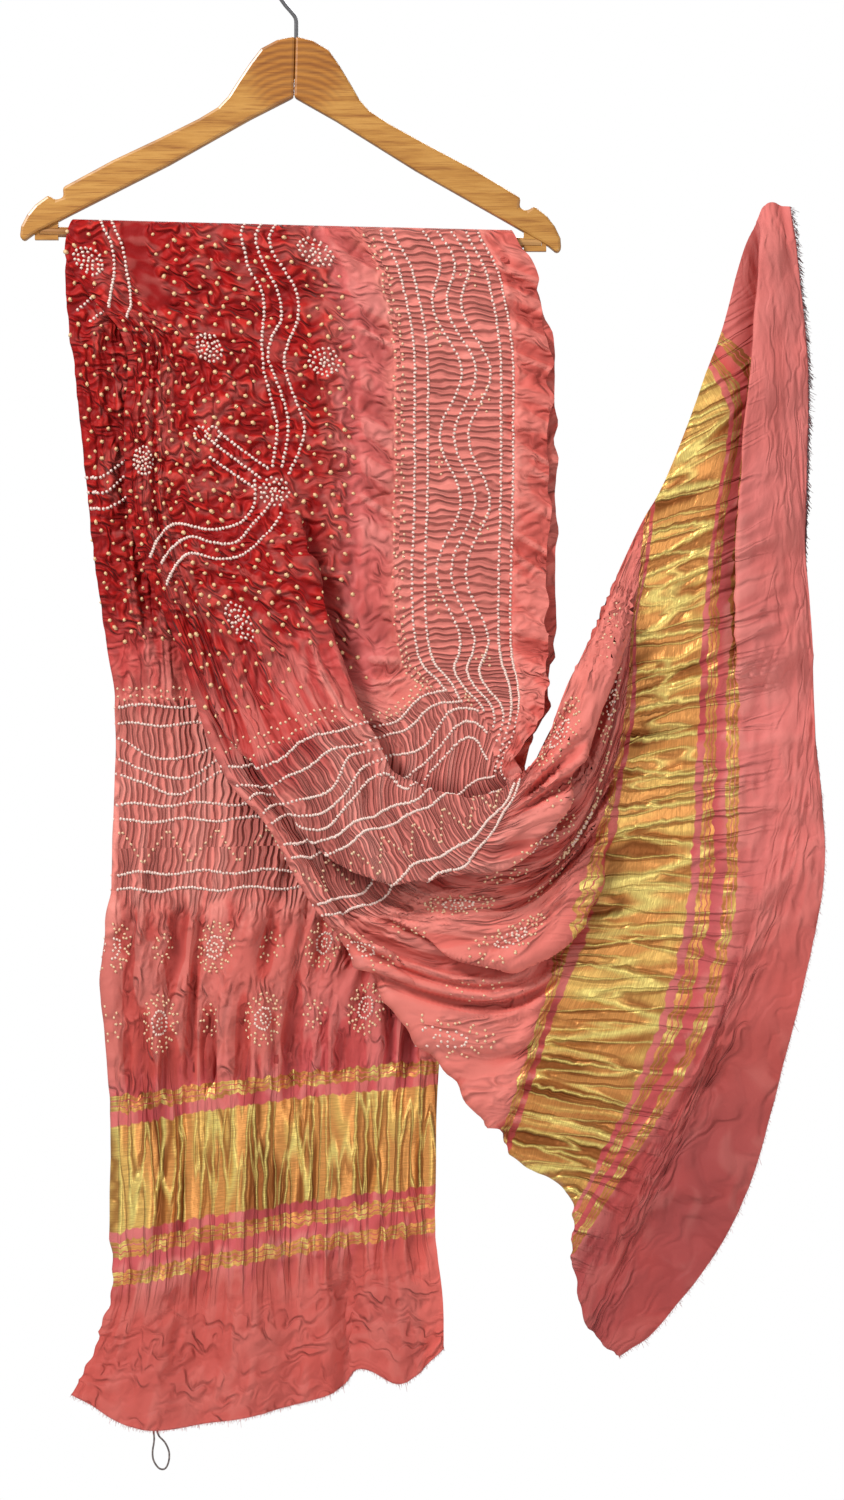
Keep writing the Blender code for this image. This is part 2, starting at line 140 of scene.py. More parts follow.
FRONT_RIBS = (
    Rib(0.000, 0.50, ((518, 239), (300, 234), (66, 228))),
    Rib(0.020, 0.50, ((532, 264), (300, 258), (63, 252))),
    Rib(0.050, 0.50, ((541, 297), (330, 292), (84, 288))),
    Rib(0.085, 0.50, ((548, 338), (340, 333), (119, 328))),
    Rib(0.160, 0.50, ((550, 428), (340, 424), (124, 420))),
    Rib(0.240, 0.50, ((549, 525), (340, 520), (128, 514))),
    Rib(0.340, 0.50, ((546, 648), (470, 650), (425, 652), (400, 664), (368, 682), (347, 672), (322, 650),
                      (250, 642), (174, 640))),
    Rib(0.391, 0.50, ((545, 684), (470, 687), (428, 694), (397, 720), (362, 727), (330, 731), (295, 748),
                      (260, 767), (222, 764))),
    Rib(0.440, 0.50, ((538, 720), (480, 730), (440, 745), (410, 760), (382, 769), (350, 788), (315, 803),
                      (262, 820))),
    Rib(0.472, 0.50, ((514, 757), (495, 774), (468, 785), (437, 792), (408, 802), (367, 817), (330, 836),
                      (279, 846))),
    Rib(0.490, 0.50, ((518, 766), (502, 786), (468, 799), (432, 808), (405, 823), (364, 839), (335, 856),
                      (290, 866))),
    Rib(0.540, 0.50, ((527, 776), (508, 803), (487, 831), (470, 852), (435, 866), (397, 884), (365, 902),
                      (318, 914))),
    Rib(0.610, 0.52, ((570, 680), (584, 770), (560, 840), (500, 896), (368, 972))),
    Rib(0.700, 0.70, ((644, 518), (638, 580), (630, 660), (614, 770), (570, 915), (500, 1136))),
    Rib(0.722, 0.74, ((655, 500), (648, 560), (637, 626), (634, 717), (622, 780), (600, 900), (560, 1000),
                      (510, 1150))),
    Rib(0.830, 0.88, ((707, 370), (727, 405), (726, 450), (715, 510), (704, 600), (700, 700), (694, 800),
                      (688, 900), (666, 1000), (628, 1100), (575, 1206))),
    Rib(0.872, 0.93, ((722, 330), (746, 360), (744, 430), (739, 510), (738, 600), (739, 700), (739, 800),
                      (736, 900), (716, 1000), (676, 1090), (573, 1255))),
    Rib(0.930, 0.95, ((750, 232), (778, 440), (785, 850), (590, 1330))),
    Rib(0.960, 0.96, ((768, 203), (795, 440), (800, 860), (604, 1344))),
    Rib(0.990, 0.97, ((791, 206), (808, 370), (806, 560), (812, 700), (825, 870), (788, 1050), (738, 1215),
                      (660, 1325), (620, 1357))),
)
BACK_RIBS = (
    Rib(0.000, 0.50, ((518, 239), (300, 234), (66, 228))),
    Rib(0.030, 0.50, ((534, 272), (300, 268), (63, 264))),
    Rib(0.130, 0.50, ((548, 396), (310, 390), (74, 386))),
    Rib(0.250, 0.50, ((548, 540), (320, 532), (89, 536))),
    Rib(0.391, 0.50, ((540, 700), (320, 704), (110, 706))),
    Rib(0.472, 0.50, ((515, 795), (310, 802), (112, 806))),
    Rib(0.543, 0.50, ((480, 880), (300, 888), (109, 892))),
    Rib(0.640, 0.50, ((447, 985), (280, 1005), (104, 1010))),
    Rib(0.722, 0.50, ((438, 1088), (270, 1105), (110, 1131))),
    Rib(0.830, 0.50, ((436, 1190), (270, 1212), (110, 1238))),
    Rib(0.872, 0.50, ((435, 1238), (270, 1265), (108, 1294))),
    Rib(0.930, 0.50, ((443, 1305), (350, 1310), (270, 1340), (92, 1352))),
    Rib(0.990, 0.50, ((444, 1356), (402, 1390), (360, 1376), (320, 1405), (152, 1437), (67, 1402))),
)
FRONT_DEPTHS = (
    Depth(0.00, -0.0096, 0.0042),
    Depth(0.10, -0.0130, 0.0070),
    Depth(0.34, -0.0180, 0.0090),
    Depth(0.47, -0.0260, 0.0130),
    Depth(0.61, -0.0300, 0.0150),
    Depth(0.83, -0.0220, 0.0110),
    Depth(0.99, -0.0130, 0.0060),
)
BACK_DEPTHS = (
    Depth(0.00, 0.0054, 0.0042),
    Depth(0.12, 0.0090, 0.0070),
    Depth(0.40, 0.0130, 0.0080),
    Depth(0.99, 0.0180, 0.0090),
)
ROLLS = (
    Roll("cowl_lip", 0.027, 70, 1, ((198, 678), (226, 728), (247, 752), (271, 782), (295, 812), (309, 835),
                                    (330, 857), (356, 871), (386, 878), (421, 878), (461, 869), (509, 856),
                                    (536, 840), (556, 814), (576, 763), (592, 724), (612, 670), (640, 575)), 7.0, 0.16, 14.0),
    Roll("border_slit", 0.020, 85, -1, ((292, 482), (306, 540), (319, 586), (332, 640), (349, 686), (367, 726),
                                        (381, 758), (394, 772), (412, 784), (448, 795), (483, 798), (515, 779),
                                        (540, 755), (568, 712)), 7.0, 0.18),
    Roll("lower_lip", 0.013, 50, 1, ((352, 906), (378, 914), (408, 926), (448, 949), (488, 960), (528, 961),
                                     (556, 947), (582, 918), (602, 872), (621, 800)), 6.0, 0.3, 13.0),
    Roll("rope_fold", 0.007, 26, -1, ((214, 700), (244, 766), (282, 818), (318, 874), (348, 918), (392, 958),
                                      (430, 1010)), 3.0, 0.3, 5.0),
    Roll("end_slit", 0.017, 60, 1, ((761, 196), (759, 260), (754, 330), (747, 400), (742, 450), (738, 520),
                                    (736, 600), (738, 700)), 5.0, 0.12, 15.0),
)
LIP_HALF_WIDTH = 5.5
BACK_WAVES = (
    Wave(118, 0.0042, 0.6, 0.15, 0.55),
    Wave(83, 0.0030, 2.1, 0.45, 0.80),
)
END_WAVES = (
    Wave(128, 0.0020, 1.2, 0.62, 0.80),
    Wave(71, 0.0011, 0.4, 0.84, 0.92),
)
# The back half's own rosettes and dotted ways beside the lengthwise fold
BACK_ROSETTES = ((0.176, 0.014), (0.302, 0.099), (0.191, 0.109), (0.236, 0.218), (0.302, 0.328), (0.382, 0.026))
BACK_CURLS = (
    ((0.403, 0.201), (0.390, 0.201), (0.372, 0.191), (0.350, 0.176)),
    ((0.403, 0.213), (0.387, 0.213), (0.370, 0.201), (0.350, 0.186)),
    ((0.403, 0.226), (0.387, 0.226), (0.367, 0.216), (0.348, 0.200)),
    ((0.370, -0.010), (0.356, 0.012), (0.360, 0.032), (0.378, 0.052), (0.394, 0.065)),
    ((0.358, -0.010), (0.346, 0.012), (0.349, 0.034), (0.364, 0.060), (0.384, 0.074)),
)
# The creases square to the hung gold band fan out: their lean at a height, and how it turns going up
FAN_LEAN, FAN_TURN, FAN_TOP, FAN_MIDDLE = 0.48, 1.22, -0.40, 0.28
HEM_RECESS_X, HEM_RECESS_WIDTH, HEM_RECESS_DEPTH = 347.0, 13.0, 0.014

# Way of the thread loop from the hem round and back, in points across the view and below the hem.
LOOP_X = 151.0
LOOP_ROUTE = ((0, 0), (0.6, 10), (-1.0, 22), (0.2, 31), (5.5, 38.5), (11.5, 39), (15.2, 32), (15.6, 22),
              (11.5, 12.5), (5.5, 6), (3.6, 0))


def place(x: np.ndarray, y: np.ndarray, depth: np.ndarray) -> np.ndarray:
    """Place points of the drawn view in the frame.

    Args:
        x: Points across the view.
        y: Points down the view.
        depth: Metres away from the viewer.

    Returns:
        The positions, with X, Y and Z last.
    """
    return np.stack([(x - STEM_X) * VIEW_SCALE, depth + 0.0 * x, (BEARING_Y - y) * VIEW_SCALE], axis=-1)


def smooth(value: np.ndarray) -> np.ndarray:
    """Ease a value from 0 to 1."""
    value = np.clip(value, 0.0, 1.0)
    return value * value * (3.0 - 2.0 * value)


def rise(value: np.ndarray, start: float, stop: float) -> np.ndarray:
    """Ease from 0 at start to 1 at stop."""
    return smooth((value - start) / (stop - start))


def band(value: np.ndarray, low: float, high: float, soft: float) -> np.ndarray:
    """Ease up at low and down again at high."""
    return rise(value, low - soft, low + soft) * (1.0 - rise(value, high - soft, high + soft))


def curve_through(points: tuple, count: int) -> np.ndarray:
    """Sample a Catmull-Rom curve through the points evenly along its length.

    Args:
        points: The points that the curve passes.
        count: How many samples it gets.

    Returns:
        The samples, one row each.
    """
    points = np.asarray(points, float)
    ends = np.vstack([2 * points[0] - points[1], points, 2 * points[-1] - points[-2]])
    fine = []
    for before, start, stop, after in zip(ends, ends[1:], ends[2:], ends[3:]):
        for step in np.linspace(0.0, 1.0, 24, endpoint=False):
            bend = 2 * start + (stop - before) * step
            bend = bend + (2 * before - 5 * start + 4 * stop - after) * step**2
            bend = bend + (3 * start - before - 3 * stop + after) * step**3
            fine.append(bend / 2)
    fine.append(points[-1])
    fine = np.array(fine)
    walked = np.concatenate([[0.0], np.cumsum(np.linalg.norm(np.diff(fine, axis=0), axis=1))])
    marks = np.linspace(0.0, walked[-1], count)
    return np.column_stack([np.interp(marks, walked, fine[:, axis]) for axis in range(points.shape[1])])


def between(marks: np.ndarray, values: np.ndarray, lengths: np.ndarray) -> np.ndarray:
    """Interpolate table values smoothly down the length.

    Args:
        marks: The table's lengths.
        values: One row of values for each mark.
        lengths: Where the values are wanted.

    Returns:
        One row of values for each length.
    """
    slopes = np.gradient(values, marks, axis=0)
    i = np.clip(np.searchsorted(marks, lengths) - 1, 0, len(marks) - 2)
    shape = (-1,) + (1,) * (values.ndim - 1)
    span = (marks[i + 1] - marks[i]).reshape(shape)
    part = ((lengths - marks[i]) / (marks[i + 1] - marks[i])).reshape(shape)
    start, stop = values[i], values[i + 1]
    bend = (1 - part) ** 2 * part * span * slopes[i] - part**2 * (1 - part) * span * slopes[i + 1]
    return start + (stop - start) * (3 * part**2 - 2 * part**3) + bend


@dataclass
class Noise:
    """Smooth noise on a fixed lattice of random values."""

    seed: int
    size: int = 256
    table: np.ndarray = field(init=False)

    def __post_init__(self) -> None:
        """Fill the lattice."""
        self.table = np.random.default_rng(self.seed).uniform(-1.0, 1.0, (self.size, self.size))

    def at(self, a: np.ndarray, b: np.ndarray) -> np.ndarray:
        """Read the noise, from -1 to 1, at lattice coordinates."""
        i, j = np.floor(a).astype(int), np.floor(b).astype(int)
        fa, fb = smooth(a - i), smooth(b - j)
        i, j, k, m = i % self.size, j % self.size, (i + 1) % self.size, (j + 1) % self.size
        low = self.table[i, j] * (1 - fa) + self.table[k, j] * fa
        high = self.table[i, m] * (1 - fa) + self.table[k, m] * fa
        return low * (1 - fb) + high * fb


@dataclass
class Dots:
    """Tied dots on the flat cloth: across, along, size and tone of each."""

    across: list = field(default_factory=list)
    along: list = field(default_factory=list)
    radius: list = field(default_factory=list)
    tone: list = field(default_factory=list)

    def add(self, across: np.ndarray, along: np.ndarray, radius: float, tone: float) -> None:
        """Add some dots of one size and tone."""
        across, along = np.broadcast_arrays(np.asarray(across, float), np.asarray(along, float))
        self.across += list(across.ravel())
        self.along += list(along.ravel())
        self.radius += [radius] * across.size
        self.tone += [tone] * across.size


@dataclass
class TiedPattern:
    """The traditional layout of tied dots on one half of the cloth, from the bar to the gold band.

    Places are flat: across from the outer selvedge to the inner one, along from the bar.
    """

    pearl_step: float = 0.0037
    pearl_radius: float = 0.00155
    border_step: float = 0.0033
    border_radius: float = 0.00138
    grain_radius: float = 0.00185
    grain_pitch: float = 0.0166
    pearl_tone: float = 1.0
    cream_tone: float = 0.0
    seed: int = 11
    # Side lines: place across, end along, swing, phase
    side_lines: tuple = (
        (0.030, 0.485, 0.0, 0.0),
        (0.040, 0.472, 0.0, 0.0),
        (0.058, 0.452, 0.009, 0.0),
        (0.070, 0.441, 0.009, 0.0),
        (0.082, 0.426, 0.009, 0.0),
        (0.101, 0.406, 0.0, 0.0),
        (0.112, 0.391, 0.0, 0.0),
    )
    # Cross lines: place along, start across, swing
    cross_lines: tuple = (
        (0.391, 0.111, 0.0),
        (0.406, 0.100, 0.0),
        (0.426, 0.083, 0.010),
        (0.441, 0.070, 0.010),
        (0.453, 0.059, 0.010),
        (0.472, 0.043, 0.0),
        (0.485, 0.032, 0.0),
        (0.529, 0.018, 0.0),
        (0.543, 0.018, 0.0),
    )
    rosettes: tuple = (
        (0.176, 0.014),
        (0.302, 0.099),
        (0.191, 0.109),
        (0.381, 0.194),
        (0.236, 0.218),
        (0.302, 0.328),
        (0.382, 0.026),
    )
    # Each way is a run of places on the outer layer
    field_ways: tuple = (
        ((0.231, -0.010), (0.236, 0.010), (0.239, 0.030), (0.234, 0.047), (0.238, 0.067), (0.247, 0.090),
         (0.248, 0.115), (0.240, 0.140), (0.234, 0.164), (0.238, 0.196)),
        ((0.216, -0.010), (0.224, 0.010), (0.224, 0.030), (0.220, 0.047), (0.224, 0.072), (0.238, 0.090),
         (0.243, 0.107), (0.234, 0.128), (0.225, 0.150), (0.224, 0.170), (0.229, 0.196)),
        ((0.203, -0.010), (0.213, 0.012), (0.209, 0.030), (0.204, 0.048), (0.209, 0.072), (0.223, 0.094),
         (0.228, 0.112), (0.220, 0.134), (0.209, 0.159), (0.212, 0.180), (0.222, 0.202)),
    )
    straight_ways: tuple = (
        ((0.289, 0.170), (0.243, 0.198)),
        ((0.296, 0.178), (0.250, 0.206)),
        ((0.300, 0.190), (0.257, 0.214)),
    )
    curl_ways: tuple = (
        ((0.255, 0.209), (0.256, 0.230), (0.272, 0.245), (0.304, 0.251), (0.342, 0.247), (0.370, 0.261), (0.392, 0.280)),
        ((0.238, 0.226), (0.250, 0.239), (0.277, 0.261), (0.303, 0.263), (0.328, 0.259), (0.358, 0.273), (0.378, 0.286)),
        ((0.230, 0.236), (0.242, 0.251), (0.272, 0.272), (0.302, 0.279), (0.332, 0.276), (0.360, 0.290), (0.383, 0.305)),
        ((0.370, -0.010), (0.356, 0.012), (0.360, 0.032), (0.378, 0.052), (0.394, 0.065)),
        ((0.358, -0.010), (0.346, 0.012), (0.349, 0.034), (0.364, 0.060), (0.384, 0.074)),
    )
    bare_patch: tuple = (0.318, 0.348, 0.066)
    # Where the scattered dots end, and how far they go on beside the lengthwise fold
    field_end: float = 0.338
    corner_end: float = 0.338
    wave_pitch: float = 0.107
    cross_pitch: float = 0.140

    def both_sides(self, dots: Dots, across: np.ndarray, along: np.ndarray, radius: float, tone: float) -> None:
        """Add dots on the outer layer and their mirror images on the inner one."""
        dots.add(across, along, radius, tone)
        dots.add(FULL_WIDTH - across, along, radius, tone)

    def path(self, way: tuple) -> np.ndarray:
        """Places one bead apart along a curved way."""
        rough = curve_through(way, 60)
        run = np.linalg.norm(np.diff(rough, axis=0), axis=1).sum()
        return curve_through(way, max(int(run / self.pearl_step), 2))

    def build(self) -> Dots:
        """Lay out all the dots of one half.

        Returns:
            The dots on the flat cloth.
        """
        dots = Dots()
        rng = np.random.default_rng(self.seed)
        self.add_borders(dots, rng)
        self.add_field(dots, rng)
        self.add_end_panel(dots, rng)
        return dots

    def add_borders(self, dots: Dots, rng: np.random.Generator) -> None:
        """Add the dotted lines of the border, which turn the corner and cross the cloth."""
        for across, end, swing, phase in self.side_lines:
            along = np.arange(-0.006, end, self.border_step)
            waved = across - swing * np.cos(2 * math.pi * (along - 0.008) / self.wave_pitch + phase)
            waved = waved + rng.uniform(-0.0004, 0.0004, along.size)
            self.both_sides(dots, waved, along, self.border_radius, self.pearl_tone)
        for along, start, swing in self.cross_lines:
            across = np.arange(start, FULL_WIDTH - start, self.border_step)
            waved = along + swing * np.sin(2 * math.pi * across / self.cross_pitch)
            waved = waved + 0.0016 * np.sin(across / 0.011 + along * 90) + rng.uniform(-0.0004, 0.0004, across.size)
            dots.add(across, waved, self.border_radius, self.pearl_tone)
        along = np.arange(0.0, 0.385, 0.0062)
        for across in (0.1215, 0.128):
            shifted = across + rng.uniform(-0.002, 0.002, along.size)
            self.both_sides(dots, shifted, along + rng.uniform(-0.002, 0.002, along.size), 0.0013, 0.35)
        across = np.arange(0.128, FULL_WIDTH - 0.128, 0.0062)
        for along in (0.377, 0.384):
            dots.add(across, along + rng.uniform(-0.002, 0.002, across.size), 0.0013, 0.35)
        for along in np.arange(0.03, 0.40, 0.107):
            for a, b in ((0, 0), (0.006, 0.004), (0.006, -0.004), (0.012, 0), (0.002, 0.010), (0.002, -0.010)):
                self.both_sides(dots, np.array([0.050 + a]), np.array([along + b]), 0.0012, 0.3)
                self.both_sides(dots, np.array([0.089 + 0.4 * a]), np.array([along + 0.053 + b]), 0.0012, 0.3)
        for start in np.arange(0.04, FULL_WIDTH - 0.04, 0.026):
            for step in range(6):
                shift = 0.0045 * step
                lean = 0.024 * (step / 5.0) if (start // 0.026) % 2 else 0.024 * (1 - step / 5.0)
                dots.add(start + shift, 0.495 + lean, 0.0013, 0.3)

    def add_field(self, dots: Dots, rng: np.random.Generator) -> None:
        """Add the scattered cream dots, the rosettes and the dotted waves of the red field."""
        paths = [self.path(way) for way in (*self.field_ways, *self.straight_ways, *self.curl_ways)]
        beads = np.concatenate(paths)
        rows = np.arange(0.004, self.corner_end, self.grain_pitch / 2)
        low, high, deep = self.bare_patch
        for row, along in enumerate(rows):
            across = np.arange(0.166 + (row % 2) * self.grain_pitch / 2, FULL_WIDTH - 0.160, self.grain_pitch)
            across = across + rng.uniform(-0.0034, 0.0034, across.size)
            placed = along + rng.uniform(-0.0028, 0.0028, across.size)
            folded = FOLDED_WIDTH - np.abs(across - FOLDED_WIDTH)
            clear = (folded < low) | (folded > high) | (placed > deep)
            clear &= (placed < self.field_end) | (folded > 0.250 + 0.5 * (self.corner_end - placed))
            for a, b in self.rosettes:
                clear &= np.hypot(folded - a, placed - b) > 0.0165
            gaps = np.hypot(folded[:, None] - beads[None, :, 0], placed[:, None] - beads[None, :, 1])
            clear &= gaps.min(axis=1) > 0.0052
            size = rng.uniform(0.80, 1.20, across.size) * self.grain_radius
            for u, v, r in zip(across[clear], placed[clear], size[clear]):
                dots.add(u, v, r, self.cream_tone)
        for path in paths:
            wobble = rng.uniform(-0.0004, 0.0004, len(path))
            self.both_sides(dots, path[:, 0] + wobble, path[:, 1], self.pearl_radius, self.pearl_tone)
        for across, along in self.rosettes:
            self.add_rosette(dots, rng, across, along)
        for across in (0.297, 0.311):
            turn = np.linspace(0, 2 * math.pi, 9, endpoint=False)
            self.both_sides(dots, across + 0.0062 * np.cos(turn), 0.170 + 0.0062 * np.sin(turn), 0.0014, 0.95)

    def add_rosette(self, dots: Dots, rng: np.random.Generator, across: float, along: float) -> None:
        """Add one round cluster of tightly tied dots, uneven as tied ones are."""
        for ring, count in ((0.0112, 17), (0.0076, 11), (0.0038, 6), (0.0, 1)):
            turn = np.linspace(0, 2 * math.pi, count, endpoint=False) + rng.uniform(0, 6)
            reach = ring + rng.uniform(-0.0011, 0.0011, count)
            size = 0.00142
            self.both_sides(dots, across + 1.15 * reach * np.cos(turn), along + reach * np.sin(turn), size, 0.92)

    def add_end_panel(self, dots: Dots, rng: np.random.Generator) -> None:
        """Add the two rows of large and small star rosettes before the gold band."""
        pitch = 0.0615
        for row, along in enumerate((0.592, 0.652)):
            for column, across in enumerate(np.arange(0.03, FULL_WIDTH, pitch)):
                if (row + column) % 2:
                    turn = np.linspace(0, 2 * math.pi, 8, endpoint=False)
                    for ring in (0.0075, 0.0120):
                        reach = ring + rng.uniform(-0.0010, 0.0010, turn.size)
                        dots.add(across + reach * np.cos(turn), along + reach * np.sin(turn), 0.0013, 0.25)
                    continue
                for ring, count, tone in ((0.0034, 7, 0.8), (0.0088, 18, 0.9)):
                    turn = np.linspace(0, 2 * math.pi, count, endpoint=False)
                    reach = ring + rng.uniform(-0.0008, 0.0008, count)
                    dots.add(across + reach * np.cos(turn), along + reach * np.sin(turn), 0.0013, tone)
                turn = np.linspace(0, 2 * math.pi, 9, endpoint=False) + rng.uniform(0, 1)
                for ring, spread in ((0.0138, 0.0), (0.0170, 0.14), (0.0170, -0.14), (0.0208, 0.20), (0.0208, -0.20)):
                    reach = ring + rng.uniform(-0.0008, 0.0008, turn.size)
                    dots.add(across + reach * np.cos(turn + spread), along + reach * np.sin(turn + spread), 0.0013, 0.25)


@dataclass
class Puckers:
    """Height of the small folds and puckers over the flat cloth, zone by zone."""

    pleat: Noise = field(default_factory=lambda: Noise(21))
    crumple: Noise = field(default_factory=lambda: Noise(22))
    soft: Noise = field(default_factory=lambda: Noise(23))

    def height(self, across: np.ndarray, along: np.ndarray, sweep: np.ndarray, shift: float) -> np.ndarray:
        """Height towards the right side of the cloth.

        Args:
            across: Places across the flat cloth.
            along: Places along it from the bar.
            sweep: Metres square to the creases that the pull of the hung end makes.
            shift: An offset that gives each half puckers of its own.

        Returns:
            Heights in metres.
        """
        edge = FOLDED_WIDTH - np.abs(across - FOLDED_WIDTH)
        a, v = across + shift, along + 0.7 * shift
        upper = 1.0 - rise(along, 0.345, 0.375)
        corner = rise(along + edge, MITRE_AT - 0.006, MITRE_AT + 0.006)
        side = band(edge, 0.030, 0.128, 0.004) * (1.0 - corner)
        selvedge = (1.0 - rise(edge, 0.026, 0.034)) * (1.0 - rise(along, 0.48, 0.56))
        strip = band(edge, 0.130, 0.158, 0.005) * upper
        red = rise(edge, 0.156, 0.168) * (1.0 - rise(along, 0.325, 0.350))
        fade = rise(edge, 0.150, 0.165) * band(along, 0.335, 0.388, 0.008)
        cross = band(along, 0.388, 0.556, 0.012) * rise(edge, 0.026, 0.034) * corner
        panel = band(along, 0.556, 0.704, 0.016)
        gold = band(along, 0.706, 0.842, 0.008)
        end = rise(along, 0.845, 0.865)
        total = side * (0.0008 * self.pleat.at(a / 0.030, v / 0.0060) + 0.0010 * self.soft.at(a / 0.022, v / 0.022))
        total = total + selvedge * 0.0046 * self.ridge(self.pleat, a / 0.060, (v + 0.5 * a) / 0.0150)
        lean = v + 0.55 * a
        total = total + strip * 0.0042 * self.ridge(self.soft, a / 0.046, lean / 0.0175)
        total = total + red * 0.0016 * self.crumple.at(a / 0.0095, v / 0.0072)
        total = total + red * 0.0022 * self.ridge(self.soft, (a + 0.3 * v) / 0.034, v / 0.0165)
        pleats = rise(edge, 0.325, 0.365) * band(along, 0.060, 0.345, 0.020)
        total = total + pleats * 0.0026 * self.ridge(self.pleat, a / 0.0085, v / 0.085)
        total = total + fade * 0.0024 * self.ridge(self.soft, a / 0.013, v / 0.080)
        total = total + cross * (0.0009 * self.pleat.at(a / 0.0065, v / 0.030) + 0.0016 * self.soft.at(a / 0.017, v / 0.05))
        drape = rise(along, 0.22, 0.42) * (1.0 - rise(along, 0.69, 0.72)) * rise(edge, 0.150, 0.170)
        total = total + drape * 0.0022 * self.ridge(self.pleat, a / 0.030, v / 0.150)
        total = total + panel * 0.0060 * self.ridge(self.soft, a / 0.020, v / 0.110)
        total = total + panel * 0.0022 * self.crumple.at(a / 0.012, v / 0.017)
        bend = sweep + 0.0030 * self.crumple.at(a / 0.030, v / 0.030)
        total = total + gold * 0.0034 * self.ridge(self.pleat, bend / 0.0230, v / 0.150)
        total = total + gold * 0.0014 * self.ridge(self.crumple, bend / 0.0100, v / 0.090)
        wrinkled = end * (0.35 + 0.65 * rise(sweep + (shift > 0), 0.50, 0.66))
        total = total + wrinkled * 0.0013 * self.ridge(self.soft, bend / 0.026, v / 0.050)
        total = total + wrinkled * 0.0012 * self.ridge(self.crumple, a / 0.017, v / 0.011)
        drawn = end * (1.0 - rise(along, 0.885, 0.970)) * rise(sweep + (shift > 0), 0.36, 0.54)
        total = total + drawn * 0.0020 * self.ridge(self.crumple, bend / 0.0120, v / 0.060)
        total = total + end * 0.0008 * self.soft.at(a / 0.030, v / 0.024)
        pinched = end * (1.0 - rise(across, 0.04, 0.30)) * (shift == 0)
        total = total + pinched * 0.0010 * self.pleat.at(a / 0.140, v / 0.0110)
        return total * (1.0 - 0.75 * rise(edge, 0.372, 0.396) * upper)

    def ridge(self, noise: Noise, a: np.ndarray, b: np.ndarray) -> np.ndarray:
        """Noise folded into sharp crests over wide hollows."""
        return 1.0 - 2.2 * np.sqrt(noise.at(a, b) ** 2 + 0.004)


@dataclass
class Sheet:
    """One layer of one half, as a grid of points with its flat places."""

    name: str
    side: Side
    layer: Layer
    points: np.ndarray
    across: np.ndarray
    along: np.ndarray
    relief: np.ndarray
    shade: np.ndarray
    sweep: np.ndarray

    def locate(self, across: np.ndarray, along: np.ndarray) -> tuple[np.ndarray, np.ndarray, np.ndarray]:
        """Find flat places on the hung sheet.

        Args:
            across: Places across the flat cloth.
            along: Places along it.

        Returns:
            Which of them lie on this sheet, and the positions and normals of those.
        """
        rows, columns = self.along.shape
        row = np.interp(along, self.along[:, 0], np.arange(rows))
        i = np.clip(row.astype(int), 0, rows - 2)
        low, high = self.across.min(axis=1)[i], self.across.max(axis=1)[i]
        found = (across > low) & (across < high) & (along > self.along[0, 0]) & (along < self.along[-1, 0])
        i, row, wanted = i[found], row[found], across[found]
        flip = self.across[0, 0] > self.across[0, -1]
        line = self.across[i]
        if flip:
            line = line[:, ::-1]
        j = np.clip((line < wanted[:, None]).sum(axis=1) - 1, 0, columns - 2)
        pick = np.arange(len(j))
        start, stop = line[pick, j], line[pick, j + 1]
        t = np.clip((wanted - start) / np.maximum(stop - start, 1e-9), 0, 1)
        if flip:
            j, t = columns - 2 - j, 1 - t
        s = np.clip(row - i, 0, 1)[:, None]
        t = t[:, None]
        grid = self.points
        near = grid[i, j] * (1 - t) + grid[i, j + 1] * t
        far = grid[i + 1, j] * (1 - t) + grid[i + 1, j + 1] * t
        normals = grid_normals(grid)[i, j]
        return found, near * (1 - s) + far * s, normals


def grid_normals(points: np.ndarray) -> np.ndarray:
    """Unit normals of a grid of points, on its right side."""
    down, over = np.gradient(points, axis=0), np.gradient(points, axis=1)
    normal = np.cross(over, down)
    return normal / np.maximum(np.linalg.norm(normal, axis=2, keepdims=True), 1e-12)


def squareness(points: np.ndarray) -> np.ndarray:
    """Sine of the angle between the rows and columns of a grid of points."""
    down, over = np.gradient(points, axis=0), np.gradient(points, axis=1)
    area = np.linalg.norm(np.cross(over, down), axis=2)
    return area / np.maximum(np.linalg.norm(down, axis=2) * np.linalg.norm(over, axis=2), 1e-12)


@dataclass(frozen=True)
class Cut:
    """One stretch of a layer's length, and the grid that it gets."""

    start: float
    stop: float
    rows: int
    columns: int
    suffix: str = ""


